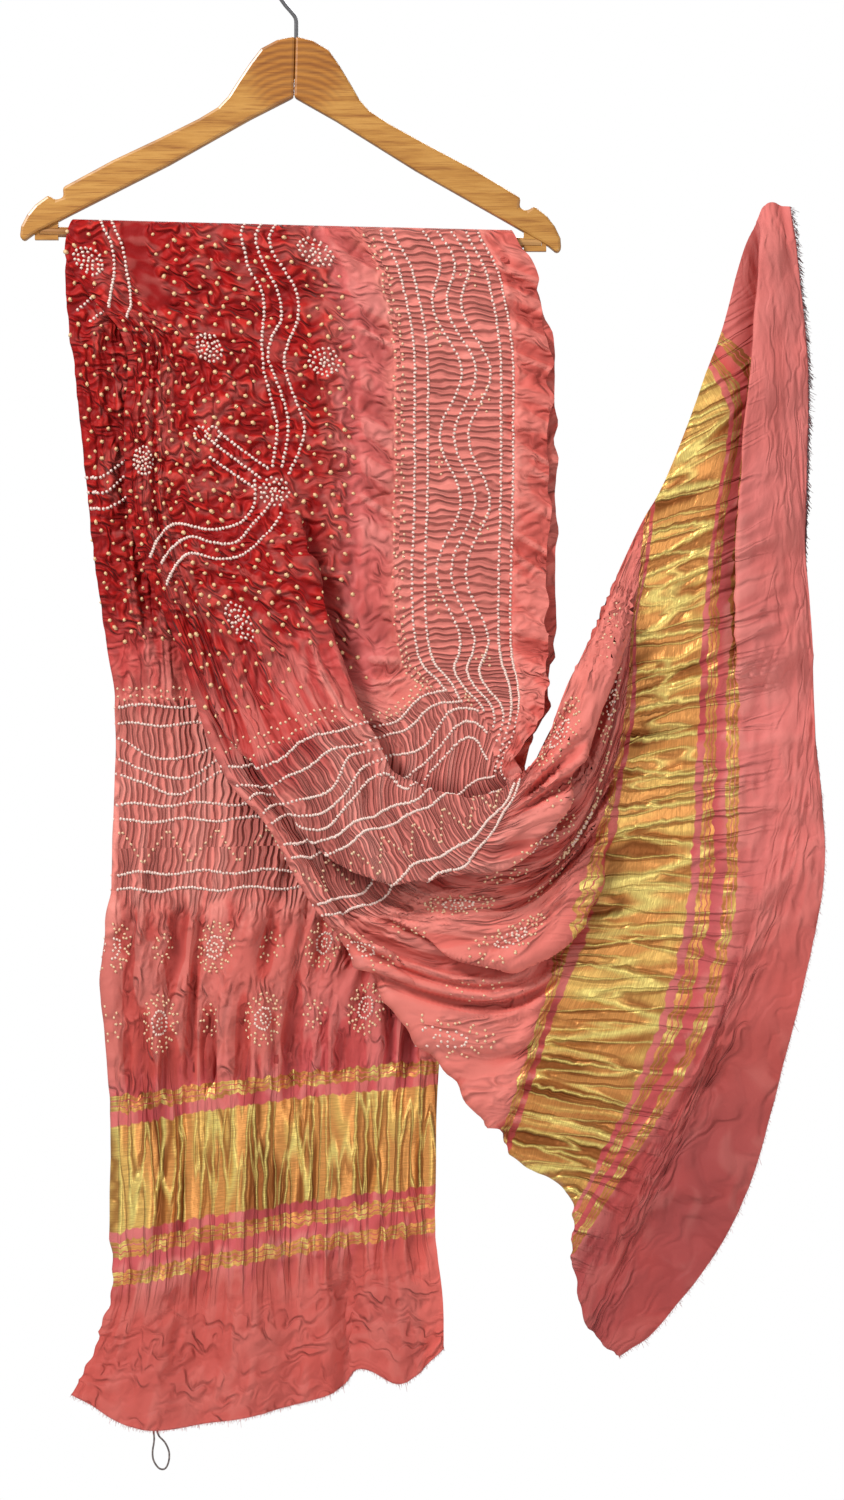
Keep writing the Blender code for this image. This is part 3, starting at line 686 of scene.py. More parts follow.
@dataclass
class Half:
    """One half of the hung cloth, whose ribs, depths and rolls its two sheets follow."""

    side: Side
    ribs: tuple
    depths: tuple
    shift: float
    samples: int = 121

    def __post_init__(self) -> None:
        """Turn the tables into arrays."""
        self.marks = np.array([rib.length for rib in self.ribs])
        self.curves = np.array([curve_through(rib.points, self.samples) for rib in self.ribs])
        self.shares = np.array([rib.share for rib in self.ribs])
        self.depth_marks = np.array([row.length for row in self.depths])
        self.depth_values = np.array([(row.depth, row.gap) for row in self.depths])
        self.edge_noise = Noise(31)

    def spread(self, way: np.ndarray, lengths: np.ndarray, curves: np.ndarray) -> np.ndarray:
        """Keep the border at its real width, and take up the rest towards the fold.

        Args:
            way: Shares of the folded width from the selvedge.
            lengths: The rows' lengths.
            curves: The rows' ribs.

        Returns:
            Shares of the way along each rib.
        """
        if self.side is Side.BACK:
            return way
        run = np.linalg.norm(np.diff(curves, axis=1), axis=2).sum(axis=1)[:, None] * VIEW_SCALE
        spare = np.clip(FOLDED_WIDTH - run, 0.0, 0.1)
        eased = (way * FOLDED_WIDTH - way**3 * spare) / (FOLDED_WIDTH - spare)
        even = rise(lengths, 0.30, 0.42)[:, None]
        return eased * (1 - even) + way * even

    def view_points(self, curves: np.ndarray, ways: np.ndarray) -> np.ndarray:
        """Points of the view at these ways along each row's rib."""
        marks = np.linspace(0.0, 1.0, self.samples)
        rows = [
            np.column_stack([np.interp(way, marks, curve[:, 0]), np.interp(way, marks, curve[:, 1])])
            for curve, way in zip(curves, ways)
        ]
        return np.array(rows)

    def rolled(self, points: np.ndarray, lengths: np.ndarray) -> tuple[np.ndarray, np.ndarray, np.ndarray]:
        """Push points of the view over and under the lips of the rolls.

        Args:
            points: Points of the view, a grid.
            lengths: The rows' lengths.

        Returns:
            The moved points, their height towards the viewer and how strongly the painted shadow under a lip falls on
            them.
        """
        flat = points.reshape(-1, 2)
        shade = np.zeros(len(flat))
        if self.side is Side.BACK:
            height = sum(wave_height(flat[:, 0], np.repeat(lengths, points.shape[1]), w) for w in BACK_WAVES)
            hollow = np.exp(-(((flat[:, 0] - HEM_RECESS_X) / HEM_RECESS_WIDTH) ** 2)) * HEM_RECESS_DEPTH
            height = height - hollow * rise(np.repeat(lengths, points.shape[1]), 0.80, 0.95)
            return points, height.reshape(points.shape[:2]), shade.reshape(points.shape[:2])
        moved = flat.copy()
        slant = flat[:, 1] + 0.35 * flat[:, 0]
        height = sum(wave_height(slant, np.repeat(lengths, points.shape[1]), w) for w in END_WAVES)
        for roll in ROLLS:
            shift, lift, under = roll_effect(flat, roll)
            moved += shift
            height = height + lift
            shade = np.maximum(shade, under)
        return moved.reshape(points.shape), height.reshape(points.shape[:2]), shade.reshape(points.shape[:2])

    def sheet(self, layer: Layer, cut: Cut, puckers: Puckers) -> Sheet:
        """Build one layer's grid, from the top of the bar to the end.

        Args:
            layer: Which layer.
            cut: The stretch of its length, and the rows and columns of its grid.
            puckers: The puckers that it gets.

        Returns:
            The sheet.
        """
        toward_viewer = (self.side is Side.FRONT) == (layer is Layer.OUTER)
        rows, columns = cut.rows, cut.columns
        lengths = np.linspace(cut.start, cut.stop, rows)
        curves = between(self.marks, self.curves, lengths)
        shares = between(self.marks, self.shares, lengths)
        depth, gap = between(self.depth_marks, self.depth_values, lengths).T
        turn_radius = np.minimum(gap / 2, 0.0045)
        ways = np.linspace(0.0, 1.0, columns)
        reach = 1.0 if toward_viewer else np.minimum((1.0 - shares) / shares, 1.0)[:, None]
        way = 1.0 - (1.0 - ways)[None, :] * np.ones((rows, 1)) * reach
        along_rib = self.spread(way, lengths, curves)
        view = self.view_points(curves, along_rib)
        if layer is Layer.INNER and self.side is Side.FRONT:
            beyond = view[:, 0] - view[:, 2]
            beyond = beyond / np.linalg.norm(beyond, axis=1, keepdims=True)
            shown = 6.5 * rise(lengths, 0.04, 0.12) * (1.0 - rise(lengths, 0.42, 0.50))
            near_edge = 1.0 - rise(way, 0.0, 0.12)
            view = view + beyond[:, None, :] * (near_edge * shown[:, None])[..., None]
        outward = view[:, -1] - view[:, -3]
        outward = outward / np.linalg.norm(outward, axis=1, keepdims=True)
        pull = outward * (turn_radius / VIEW_SCALE)[:, None]
        view = view - pull[:, None, :] * rise(way, 0.8, 1.0)[:, :, None]
        moved, lift, shade = self.rolled(view, lengths)
        near_depth = depth[:, None] - lift
        if not toward_viewer:
            moved, near_depth = view, (depth + gap)[:, None] - 0.25 * lift
        edge_in = depth - lift[:, -1]
        edge_out = depth + gap - 0.25 * lift[:, -1]
        turn_steps = 4 if toward_viewer else 1
        angles = np.linspace(0, math.pi, 7)[1:-1]
        angles = angles[:turn_steps] if toward_viewer else angles[-1:][::-1]
        turn_xy = np.stack([moved[:, -1] + pull * math.sin(angle) for angle in angles], axis=1)
        turn_y = np.stack(
            [(edge_in + edge_out) / 2 - math.cos(angle) * (edge_out - edge_in) / 2 for angle in angles], axis=1
        )
        xy = np.concatenate([moved, turn_xy], axis=1)
        deep = np.concatenate([near_depth, turn_y], axis=1)
        points = place(xy[..., 0], xy[..., 1], deep)
        share = shares[:, None]
        if layer is Layer.OUTER and self.side is Side.FRONT:
            across = way * share * FULL_WIDTH
        elif layer is Layer.INNER and self.side is Side.FRONT:
            across = FULL_WIDTH * (share + (1.0 - share) * (1.0 - ways)[None, :])
        elif layer is Layer.OUTER:
            across = way * FOLDED_WIDTH
        else:
            across = FULL_WIDTH - way * FOLDED_WIDTH
        fold_across = across[:, -1:]
        direction = np.sign(across[:, -1:] - across[:, -2:-1])
        steps = np.arange(1, len(angles) + 1)[None, :] * 0.0008
        across = np.concatenate([across, fold_across + direction * steps], axis=1)
        along = np.repeat(lengths[:, None], across.shape[1], axis=1)
        shade = np.concatenate([shade, np.repeat(shade[:, -1:], len(angles), axis=1)], axis=1)
        if cut.start == 0.0:
            points, across, along = self.over_bar(points, across, along, layer)
            shade = np.concatenate([np.zeros((len(points) - len(shade), shade.shape[1])), shade])
        sweep = across
        if self.side is Side.FRONT:
            lean = FAN_LEAN + FAN_TURN * (points[..., 2] - FAN_TOP)
            sweep = lean * (points[..., 0] - FAN_MIDDLE) - points[..., 2]
        relief = puckers.height(across, along, sweep, self.shift)
        if cut.start > 0.0:
            relief = relief - 0.0009 * (1.0 - rise(along, cut.start + SEAM_LAP / 2, cut.start + 3 * SEAM_LAP))
        normals = self.outward_normals(points, layer)
        edge = FOLDED_WIDTH - np.abs(across - FOLDED_WIDTH)
        free = rise(along, -0.002, 0.012)
        ruffle = (1.0 - rise(edge, 0.0, 0.020)) * (1.0 - rise(along, 0.42, 0.52)) * free
        ruffle = ruffle * self.edge_noise.at(across * 0 + 3.3, along / 0.0150 + (layer is Layer.INNER) * 9.7)
        points = points + normals * (relief * free * rise(squareness(points), 0.25, 0.75))[..., None]
        points = points + np.stack([ruffle * 0.0040, 0.0 * ruffle, 0.0 * ruffle], axis=-1)
        name = f"cloth_{self.side.name.lower()}_{layer.value}{cut.suffix}"
        return Sheet(name, self.side, layer, points, across, along, relief, shade, sweep)

    def outward_normals(self, points: np.ndarray, layer: Layer) -> np.ndarray:
        """Normals on the right side of the cloth: away from the other layer."""
        normals = grid_normals(points)
        toward_viewer = (self.side is Side.FRONT) == (layer is Layer.OUTER)
        mean = normals[..., 1].mean()
        wanted = -1.0 if toward_viewer else 1.0
        return normals * (1.0 if mean * wanted > 0 else -1.0)

    def over_bar(
        self, points: np.ndarray, across: np.ndarray, along: np.ndarray, layer: Layer
    ) -> tuple[np.ndarray, np.ndarray, np.ndarray]:
        """Add the rows that run from the top of the bar down to the level of its centre."""
        inner = BAR_DIAMETER / 2 + SEAT_GAP + SOLID_THICKNESS / 2 + 0.0002
        radius = inner + (LAYER_GAP_AT_BAR if layer is Layer.OUTER else 0.0)
        turns = np.linspace(math.pi / 2, 0.0, 7)[:-1]
        first = points[0]
        middle_x = first[:, 0].mean()
        rows = []
        for turn in turns:
            row = first.copy()
            draw = np.where(first[:, 0] > middle_x, -TOP_TUCK_RIGHT, TOP_TUCK_LEFT) * VIEW_SCALE
            reach = np.abs(first[:, 0] - middle_x) / np.abs(first[:, 0] - middle_x).max()
            row[:, 0] = first[:, 0] + draw * reach * math.sin(turn)
            centred = np.abs(first[:, 1]) / np.abs(first[:, 1]).max()
            ring = radius * (centred if layer is Layer.OUTER else 1.0)
            ring = np.maximum(ring, inner)
            row[:, 1] = -self.side.value * ring * math.cos(turn)
            row[:, 2] = first[:, 2] + ring * math.sin(turn)
            rows.append(row)
        top = np.array(rows)
        lead = -radius * turns[:, None] * np.ones((1, points.shape[1]))
        return (
            np.concatenate([top, points]),
            np.concatenate([np.repeat(across[:1], len(turns), axis=0), across]),
            np.concatenate([lead, along]),
        )


def wave_height(marks: np.ndarray, lengths: np.ndarray, wave: Wave) -> np.ndarray:
    """Height of one family of waves at these marks."""
    return wave.height * rise(lengths, wave.start, wave.full) * np.sin(marks * 2 * math.pi / wave.pitch + wave.phase)


def roll_effect(points: np.ndarray, roll: Roll) -> tuple[np.ndarray, np.ndarray, np.ndarray]:
    """How one roll moves points of the view.

    Args:
        points: Points of the view.
        roll: The roll.

    Returns:
        The shift across the view, the height towards the viewer, and how strongly the painted shadow under the lip
        falls on each point.
    """
    line = curve_through(roll.points, 90)
    offsets = points[:, None, :] - line[None, :, :]
    nearest = np.argmin((offsets**2).sum(axis=2), axis=1)
    tangents = np.gradient(line, axis=0)
    tangent = tangents[nearest] / np.linalg.norm(tangents[nearest], axis=1)[:, None]
    offset = offsets[np.arange(len(points)), nearest]
    normal = np.column_stack([tangent[:, 1], -tangent[:, 0]]) * roll.side
    aside = (normal * offset).sum(axis=1)
    along = nearest / (len(line) - 1.0)
    taper = smooth(along / roll.fade) * smooth((1.0 - along) / roll.fade)
    lip = smooth((aside + LIP_HALF_WIDTH) / (2 * LIP_HALF_WIDTH))
    away = np.exp(-((np.maximum(aside, 0.0) / roll.reach) ** 2))
    scaled = aside / LIP_HALF_WIDTH
    push = -roll.overhang * scaled * np.exp(0.5 * (1.0 - scaled**2)) * taper
    # Painted shadow: a band below the lip, as wide as roll.shadow, that darkens the silk and the gold
    below = aside + LIP_HALF_WIDTH
    under = np.exp(-((below / np.where(below < 0, roll.shadow, 0.7 * LIP_HALF_WIDTH)) ** 2)) * taper
    return normal * push[:, None], roll.height * taper * lip * away, under * min(roll.height / 0.016, 1.0)


def srgb(red: int, green: int, blue: int) -> tuple[float, float, float, float]:
    """Turn a display colour from 0 to 255 into a linear one."""
    values = []
    for part in (red, green, blue):
        share = part / 255.0
        values.append(share / 12.92 if share <= 0.04045 else ((share + 0.055) / 1.055) ** 2.4)
    return (*values, 1.0)


class Graph:
    """A material's node tree with short calls for its nodes."""

    def __init__(self, name: str) -> None:
        """Start an empty material with a Principled shader.

        Args:
            name: The material's name.
        """
        self.material = bpy.data.materials.new(name)
        self.material.use_nodes = True
        self.tree = self.material.node_tree
        self.shader = self.tree.nodes["Principled BSDF"]

    def node(self, kind: str, **settings: object) -> bpy.types.Node:
        """Add a node and set its own options."""
        added = self.tree.nodes.new(kind)
        for key, value in settings.items():
            setattr(added, key, value)
        return added

    def put(self, socket: bpy.types.NodeSocket, value: object) -> None:
        """Link a socket, or set its plain value."""
        if isinstance(value, bpy.types.NodeSocket):
            self.tree.links.new(value, socket)
        else:
            socket.default_value = value

    def math(self, operation: str, first: object, second: object = 0.0, third: object = 0.0) -> bpy.types.NodeSocket:
        """Add a Math node."""
        added = self.node("ShaderNodeMath", operation=operation)
        for socket, value in zip(added.inputs, (first, second, third)):
            self.put(socket, value)
        return added.outputs[0]

    def step(self, value: object, low: float, high: float, start: float = 0.0, stop: float = 1.0) -> bpy.types.NodeSocket:
        """Ease from start to stop while the value goes from low to high."""
        added = self.node("ShaderNodeMapRange", interpolation_type="SMOOTHSTEP")
        for socket, given in zip(added.inputs, (value, low, high, start, stop)):
            self.put(socket, given)
        return added.outputs[0]

    def span(self, value: object, low: float, high: float, soft: float) -> bpy.types.NodeSocket:
        """One between low and high, easing to 0 outside."""
        up = self.step(value, low - soft, low + soft)
        down = self.step(value, high - soft, high + soft, 1.0, 0.0)
        return self.math("MULTIPLY", up, down)

    def mix(self, share: object, first: object, second: object, blend: str = "MIX") -> bpy.types.NodeSocket:
        """Mix two colours."""
        added = self.node("ShaderNodeMix", data_type="RGBA", blend_type=blend)
        self.put(added.inputs[0], share)
        self.put(added.inputs[6], first)
        self.put(added.inputs[7], second)
        return added.outputs[2]

    def join(self, x: object, y: object, z: object = 0.0) -> bpy.types.NodeSocket:
        """Combine three values into a vector."""
        added = self.node("ShaderNodeCombineXYZ")
        for socket, value in zip(added.inputs, (x, y, z)):
            self.put(socket, value)
        return added.outputs[0]

    def noise(self, vector: object, scale: float, detail: float = 2.0, roughness: float = 0.5) -> bpy.types.NodeSocket:
        """Add a noise texture and return its value."""
        added = self.node("ShaderNodeTexNoise")
        self.put(added.inputs["Vector"], vector)
        added.inputs["Scale"].default_value = scale
        added.inputs["Detail"].default_value = detail
        added.inputs["Roughness"].default_value = roughness
        return added.outputs["Fac"]

    def ramp(self, value: object, stops: tuple) -> bpy.types.NodeSocket:
        """Add a colour ramp with these stops of place and colour."""
        added = self.node("ShaderNodeValToRGB")
        self.put(added.inputs[0], value)
        elements = added.color_ramp.elements
        while len(elements) < len(stops):
            elements.new(1.0)
        for element, (position, colour) in zip(elements, stops):
            element.position = position
            element.color = colour
        return added.outputs[0]

    def bump(self, height: object, distance: float, strength: float = 1.0, normal: object = None) -> bpy.types.NodeSocket:
        """Add a bump node."""
        added = self.node("ShaderNodeBump")
        added.inputs["Strength"].default_value = strength
        added.inputs["Distance"].default_value = distance
        self.put(added.inputs["Height"], height)
        if normal is not None:
            self.put(added.inputs["Normal"], normal)
        return added.outputs[0]

    def finish(self, colour: object, roughness: object, metallic: object = 0.0, normal: object = None) -> bpy.types.Material:
        """Connect the shader's main sockets and hand over the material."""
        self.put(self.shader.inputs["Base Color"], colour)
        self.put(self.shader.inputs["Roughness"], roughness)
        self.put(self.shader.inputs["Metallic"], metallic)
        if normal is not None:
            self.put(self.shader.inputs["Normal"], normal)
        return self.material


@dataclass(frozen=True)
class DyedSilk:
    """The dyed silk with its gold bands: zones by flat place, with painted shade that makes the creases and hollows
    darker than the puffs between them, painted shadow under the lips, painted highlights on the puffs and the gold's
    crests, and painted light and shade down the front end.
    """

    red: tuple = srgb(174, 16, 14)
    # Painted shade: the deep red that creases, hollows and the bands under the lips darken towards
    painted_shade_red: tuple = srgb(104, 8, 12)
    coral: tuple = srgb(240, 138, 126)
    pink: tuple = srgb(196, 84, 76)
    rose: tuple = srgb(206, 92, 96)
    end_pink: tuple = srgb(196, 92, 84)
    # Painted light on the upper part of the front end, and painted shade on its lower part
    painted_light_end_pink: tuple = srgb(226, 126, 120)
    painted_shade_end_pink: tuple = srgb(156, 68, 68)
    swag_pink: tuple = srgb(240, 126, 114)
    # Painted highlight on the tops of the puffs in the red field
    lit_red: tuple = srgb(212, 48, 38)
    selvedge: tuple = srgb(224, 100, 90)
    # Painted highlights on the crests of the gold
    painted_highlight_gold: tuple = srgb(255, 236, 138)
    painted_crest_highlight_gold: tuple = srgb(252, 204, 114)
    gold: tuple = srgb(242, 170, 96)
    bronze: tuple = srgb(150, 88, 42)
    patchy_orange_gold: tuple = srgb(186, 100, 66)
    sheen: float = 0.03
    # Where ribs break: straight and waved lines from the outer selvedge, and from the bar
    side_breaks: tuple = (0.030, 0.040, 0.101, 0.112, 0.124)
    waved_side_breaks: tuple = (0.058, 0.070, 0.082)
    cross_breaks: tuple = (0.391, 0.406, 0.472, 0.485, 0.508, 0.529, 0.543)
    waved_cross_breaks: tuple = (0.426, 0.441, 0.453)

    def zones(self, graph: Graph, along: object, edge: object) -> bpy.types.NodeSocket:
        """The dye colours by place."""
        middle = graph.ramp(
            along,
            (
                (0.000, self.red),
                (0.305, self.red),
                (0.355, srgb(208, 82, 78)),
                (0.400, self.coral),
                (0.545, self.coral),
                (0.580, self.pink),
                (0.680, self.pink),
                (0.712, self.rose),
                (0.850, self.rose),
                (0.885, self.end_pink),
                (1.000, self.end_pink),
            ),
        )
        border = graph.ramp(
            along,
            (
                (0.000, self.coral),
                (0.545, self.coral),
                (0.580, self.pink),
                (0.712, self.rose),
                (0.850, self.rose),
                (0.885, self.end_pink),
                (1.000, self.end_pink),
            ),
        )
        inner = graph.step(edge, 0.140, 0.205)
        colour = graph.mix(inner, border, middle)
        strip = graph.math("MULTIPLY", graph.span(edge, 0.134, 0.176, 0.010), graph.step(along, 0.330, 0.375, 0.55, 0.0))
        colour = graph.mix(strip, colour, self.rose)
        return graph.mix(graph.step(edge, 0.022, 0.032, 0.7, 0.0), colour, self.selvedge)

    def gold_mask(self, graph: Graph, along: object) -> bpy.types.NodeSocket:
        """One on the gold band and on the thin gold lines beside it."""
        mask = graph.span(along, 0.7220, 0.8300, 0.0008)
        for low, high in ((0.7000, 0.7125), (0.8375, 0.8490), (0.8595, 0.8715)):
            inside = graph.span(along, low, high, 0.0003)
            phase = graph.math("FRACT", graph.math("MULTIPLY", graph.math("SUBTRACT", along, low), 1 / 0.0042))
            line = graph.math("LESS_THAN", phase, 0.80)
            mask = graph.math("MAXIMUM", mask, graph.math("MULTIPLY", inside, line))
        return mask

    def break_count(self, graph: Graph, place: object, waved: object, lines: tuple, waved_lines: tuple) -> object:
        """How many dotted lines lie before a place, so that ribs start anew at each of them."""
        total = graph.math("MULTIPLY", place, 0.0)
        for where, marks in ((place, lines), (waved, waved_lines)):
            for mark in marks:
                total = graph.math("ADD", total, graph.math("GREATER_THAN", where, mark))
        return total

    def ribs(self, graph: Graph, across: object, signed: object, along: object, edge: object, warp: object) -> object:
        """Distance to the crease beside each rib of the borders, from 0 to 0.5."""
        swing = graph.math("MULTIPLY_ADD", along, 2 * math.pi / 0.107, -0.470)
        waved_edge = graph.math("MULTIPLY_ADD", graph.math("COSINE", swing), 0.009, edge)
        side_count = self.break_count(graph, edge, waved_edge, self.side_breaks, self.waved_side_breaks)
        swing = graph.math("MULTIPLY", across, 2 * math.pi / 0.140)
        waved_along = graph.math("MULTIPLY_ADD", graph.math("SINE", swing), -0.010, along)
        cross_count = self.break_count(graph, along, waved_along, self.cross_breaks, self.waved_cross_breaks)
        side_way = graph.math("MULTIPLY_ADD", side_count, 13.7, graph.math("MULTIPLY", signed, 1 / 0.0060))
        cross_way = graph.math("MULTIPLY_ADD", cross_count, 13.7, graph.math("MULTIPLY", across, 1 / 0.0063))
        crossed = graph.math("GREATER_THAN", graph.math("ADD", along, edge), MITRE_AT)
        way = graph.node("ShaderNodeMix", data_type="FLOAT")
        graph.put(way.inputs[0], crossed)
        graph.put(way.inputs[2], side_way)
        graph.put(way.inputs[3], cross_way)
        cells = graph.node("ShaderNodeTexVoronoi", voronoi_dimensions="1D", feature="DISTANCE_TO_EDGE")
        graph.put(cells.inputs["W"], graph.math("MULTIPLY_ADD", warp, 1.7, way.outputs[0]))
        cells.inputs["Scale"].default_value = 1.0
        cells.inputs["Randomness"].default_value = 0.8
        return cells.outputs["Distance"]

    def rumples(self, graph: Graph, across: object, signed: object, warp: object, wide: float, high: float) -> object:
        """Distance to short wavy creases of a mean width and height, from 0 to 0.5."""
        x = graph.math("MULTIPLY_ADD", warp, 1.2, graph.math("MULTIPLY", across, 1 / wide))
        leaning = graph.math("MULTIPLY_ADD", across, 0.20, signed)
        y = graph.math("MULTIPLY_ADD", warp, 2.0, graph.math("MULTIPLY", leaning, 1 / high))
        rumple = graph.noise(graph.join(x, y), 1.0, 0.35, 0.45)
        return graph.math("ABSOLUTE", graph.math("SUBTRACT", rumple, 0.5))

    def crests(self, graph: Graph, sweep: object, signed: object, warp: object) -> tuple[object, object]:
        """The thin crests that the pull makes in the gold band, and the troughs under them: masks for painted
        highlights on the crests and painted shade in the troughs, and for their bump.
        """
        total_crest, total_trough = 0.0, 0.0
        for pitch, run, strength in ((0.0270, 0.260, 1.0), (0.0140, 0.130, 0.75)):
            x = graph.math("MULTIPLY_ADD", warp, 0.16, graph.math("MULTIPLY", sweep, 1 / pitch))
            wave = graph.noise(graph.join(x, graph.math("MULTIPLY", signed, 1 / run)), 1.0, 0.5, 0.4)
            line = graph.math("ABSOLUTE", graph.math("SUBTRACT", wave, 0.50))
            below = graph.math("ABSOLUTE", graph.math("SUBTRACT", wave, 0.56))
            total_crest = graph.math("MAXIMUM", total_crest, graph.step(line, 0.0, 0.046, strength, 0.0))
            total_trough = graph.math("MAXIMUM", total_trough, graph.step(below, 0.0, 0.038, strength, 0.0))
        return total_crest, total_trough

    def build(self) -> bpy.types.Material:
        """Make the material."""
        graph = Graph("dyed_silk")
        places = graph.node("ShaderNodeUVMap", uv_map="flat").outputs[0]
        apart = graph.node("ShaderNodeSeparateXYZ")
        graph.put(apart.inputs[0], places)
        across, signed = apart.outputs[0], apart.outputs[1]
        along = graph.math("ABSOLUTE", signed)
        centred = graph.math("ABSOLUTE", graph.math("SUBTRACT", across, FOLDED_WIDTH))
        edge = graph.math("SUBTRACT", FOLDED_WIDTH, centred)
        bleed = graph.math("MULTIPLY", graph.math("SUBTRACT", graph.noise(places, 48.0, 4.0, 0.6), 0.5), 0.055)
        streaks = graph.noise(graph.join(across, graph.math("MULTIPLY", signed, 0.12)), 110.0, 2.0)
        runs = graph.math("MULTIPLY_ADD", streaks, 0.060, -0.030)
        front = graph.math("GREATER_THAN", signed, 0.0)
        longer = graph.math("MULTIPLY", front, graph.step(across, 0.225, 0.300, 0.0, -0.030))
        reached = graph.math("ADD", along, graph.math("MULTIPLY", longer, graph.step(along, 0.20, 0.30)))
        colour = self.zones(graph, graph.math("ADD", reached, graph.math("ADD", bleed, runs)), graph.math("ADD", edge, bleed))
        # Painted light: the upper part of the front end lightened
        pale = graph.math("MULTIPLY", graph.step(signed, 0.845, 0.870), graph.step(across, 0.36, 0.60, 1.0, 0.0))
        colour = graph.mix(pale, colour, self.painted_light_end_pink)
        swag = graph.span(signed, 0.570, 0.700, 0.012)
        colour = graph.mix(graph.math("MULTIPLY", swag, 0.75), colour, self.swag_pink)
        # Painted shade: the lower part of the front end darkened, where it turns away from the light
        low = graph.math("MULTIPLY", front, graph.step(across, 0.42, 0.68))
        colour = graph.mix(graph.math("MULTIPLY", low, graph.step(along, 0.840, 0.880, 0.0, 0.85)), colour, self.painted_shade_end_pink)
        warp = graph.noise(places, 62.0, 0.6)

        corner = graph.math("GREATER_THAN", graph.math("ADD", along, edge), MITRE_AT)
        side = graph.math("MULTIPLY", graph.span(edge, 0.030, 0.128, 0.002), graph.math("SUBTRACT", 1.0, corner))
        uneven = graph.math("MULTIPLY_ADD", graph.math("SUBTRACT", warp, 0.5), 0.050, along)
        cross = graph.math("MULTIPLY", graph.step(along, 0.382, 0.390), graph.step(uneven, 0.544, 0.572, 1.0, 0.0))
        cross = graph.math("MULTIPLY", cross, graph.step(edge, 0.014, 0.030))
        ribbed = graph.math("MAXIMUM", side, graph.math("MULTIPLY", cross, corner))
        red = graph.math("MULTIPLY", graph.step(edge, 0.146, 0.178), graph.step(reached, 0.325, 0.352, 1.0, 0.0))
        rib = self.ribs(graph, across, signed, along, edge, warp)
        rumple = self.rumples(graph, across, signed, warp, 0.0145, 0.0088)
        drape = self.rumples(graph, across, signed, warp, 0.0125, 0.0340)
        draped = graph.math("MULTIPLY", graph.span(along, 0.560, 0.706, 0.008), graph.step(graph.noise(places, 34.0), 0.36, 0.60))
        # Painted shade in the creases: each crease mask below darkens the colour further down
        rib_crease = graph.math("MULTIPLY", graph.step(rib, 0.00, 0.23, 0.74, 0.0), ribbed)
        ends = graph.step(along, 0.866, 0.892)
        linen = self.rumples(graph, across, signed, warp, 0.0340, 0.0140)
        creased = graph.math("MULTIPLY", graph.step(along, 0.885, 0.925), graph.step(graph.noise(places, 24.0), 0.34, 0.60, 0.30, 1.0))
        creased = graph.math("MULTIPLY", creased, graph.math("MULTIPLY_ADD", pale, -0.60, 1.0))
        linen_crease = graph.math("MULTIPLY", graph.step(linen, 0.00, 0.045, 0.36, 0.0), creased)
        fold_side = self.rumples(graph, across, signed, warp, 0.0088, 0.0750)
        folding = graph.math("MULTIPLY", graph.step(edge, 0.338, 0.362), graph.span(along, 0.075, 0.386, 0.016))
        fading = graph.math("MULTIPLY", graph.step(edge, 0.150, 0.175), graph.span(along, 0.340, 0.386, 0.010))
        folding = graph.math("MAXIMUM", folding, graph.math("MULTIPLY", fading, 0.75))
        fold_crease = graph.math("MULTIPLY", graph.step(fold_side, 0.00, 0.080, 0.80, 0.0), folding)
        bare = graph.math("MULTIPLY", graph.span(edge, 0.322, 0.346, 0.003), graph.step(along, 0.058, 0.070, 1.0, 0.0))
        tied = graph.math("MULTIPLY", red, graph.math("SUBTRACT", 1.0, bare))
        loose = graph.math("MULTIPLY", graph.step(along, 0.345, 0.375, 1.0, 0.0), graph.step(edge, 0.126, 0.132))
        hemmed = graph.math("MULTIPLY", graph.step(edge, 0.024, 0.031, 1.0, 0.0), graph.step(along, 0.52, 0.60, 1.0, 0.0))
        loose = graph.math("MAXIMUM", loose, hemmed)
        loose = graph.math("MULTIPLY", loose, graph.math("SUBTRACT", 0.55, graph.math("MULTIPLY", red, 0.55)))
        rumpled = graph.math("MAXIMUM", tied, loose)
        # Painted shade: the smooth bare patch where the cloth folds over is darkened towards a deep red
        colour = graph.mix(graph.math("MULTIPLY", graph.math("MULTIPLY", bare, red), 0.45), colour, self.painted_shade_red)
        patch = graph.step(graph.noise(places, 70.0, 1.0), 0.34, 0.56, 0.25, 1.0)
        rumple_crease = graph.math("MULTIPLY", graph.step(rumple, 0.00, 0.125, 1.0, 0.0), graph.math("MULTIPLY", rumpled, patch))
        drape_crease = graph.math("MULTIPLY", graph.step(drape, 0.00, 0.080, 0.72, 0.0), draped)
        crease = graph.math("MAXIMUM", graph.math("MAXIMUM", rib_crease, rumple_crease), drape_crease)
        crease = graph.math("MAXIMUM", crease, graph.math("MAXIMUM", linen_crease, fold_crease))
        puffs = graph.math("MULTIPLY", graph.step(rib, 0.0, 0.45), graph.math("MULTIPLY", ribbed, 0.75))
        puffs = graph.math("ADD", puffs, graph.math("MULTIPLY", graph.step(rumple, 0.0, 0.26), rumpled))
        plain = graph.math("SUBTRACT", 1.0, graph.math("MAXIMUM", ribbed, red))
        soft = graph.noise(places, 95.0, 3.0)
        puffs = graph.math("ADD", puffs, graph.math("MULTIPLY", graph.step(drape, 0.0, 0.18), graph.math("MULTIPLY", draped, 0.7)))
        puffs = graph.math("ADD", puffs, graph.math("MULTIPLY", soft, 0.22))
        puffs = graph.math("ADD", puffs, graph.math("MULTIPLY", graph.step(linen, 0.0, 0.17), graph.math("MULTIPLY", creased, 0.62)))
        puffs = graph.math("ADD", puffs, graph.math("MULTIPLY", graph.step(fold_side, 0.0, 0.20), graph.math("MULTIPLY", folding, 0.55)))

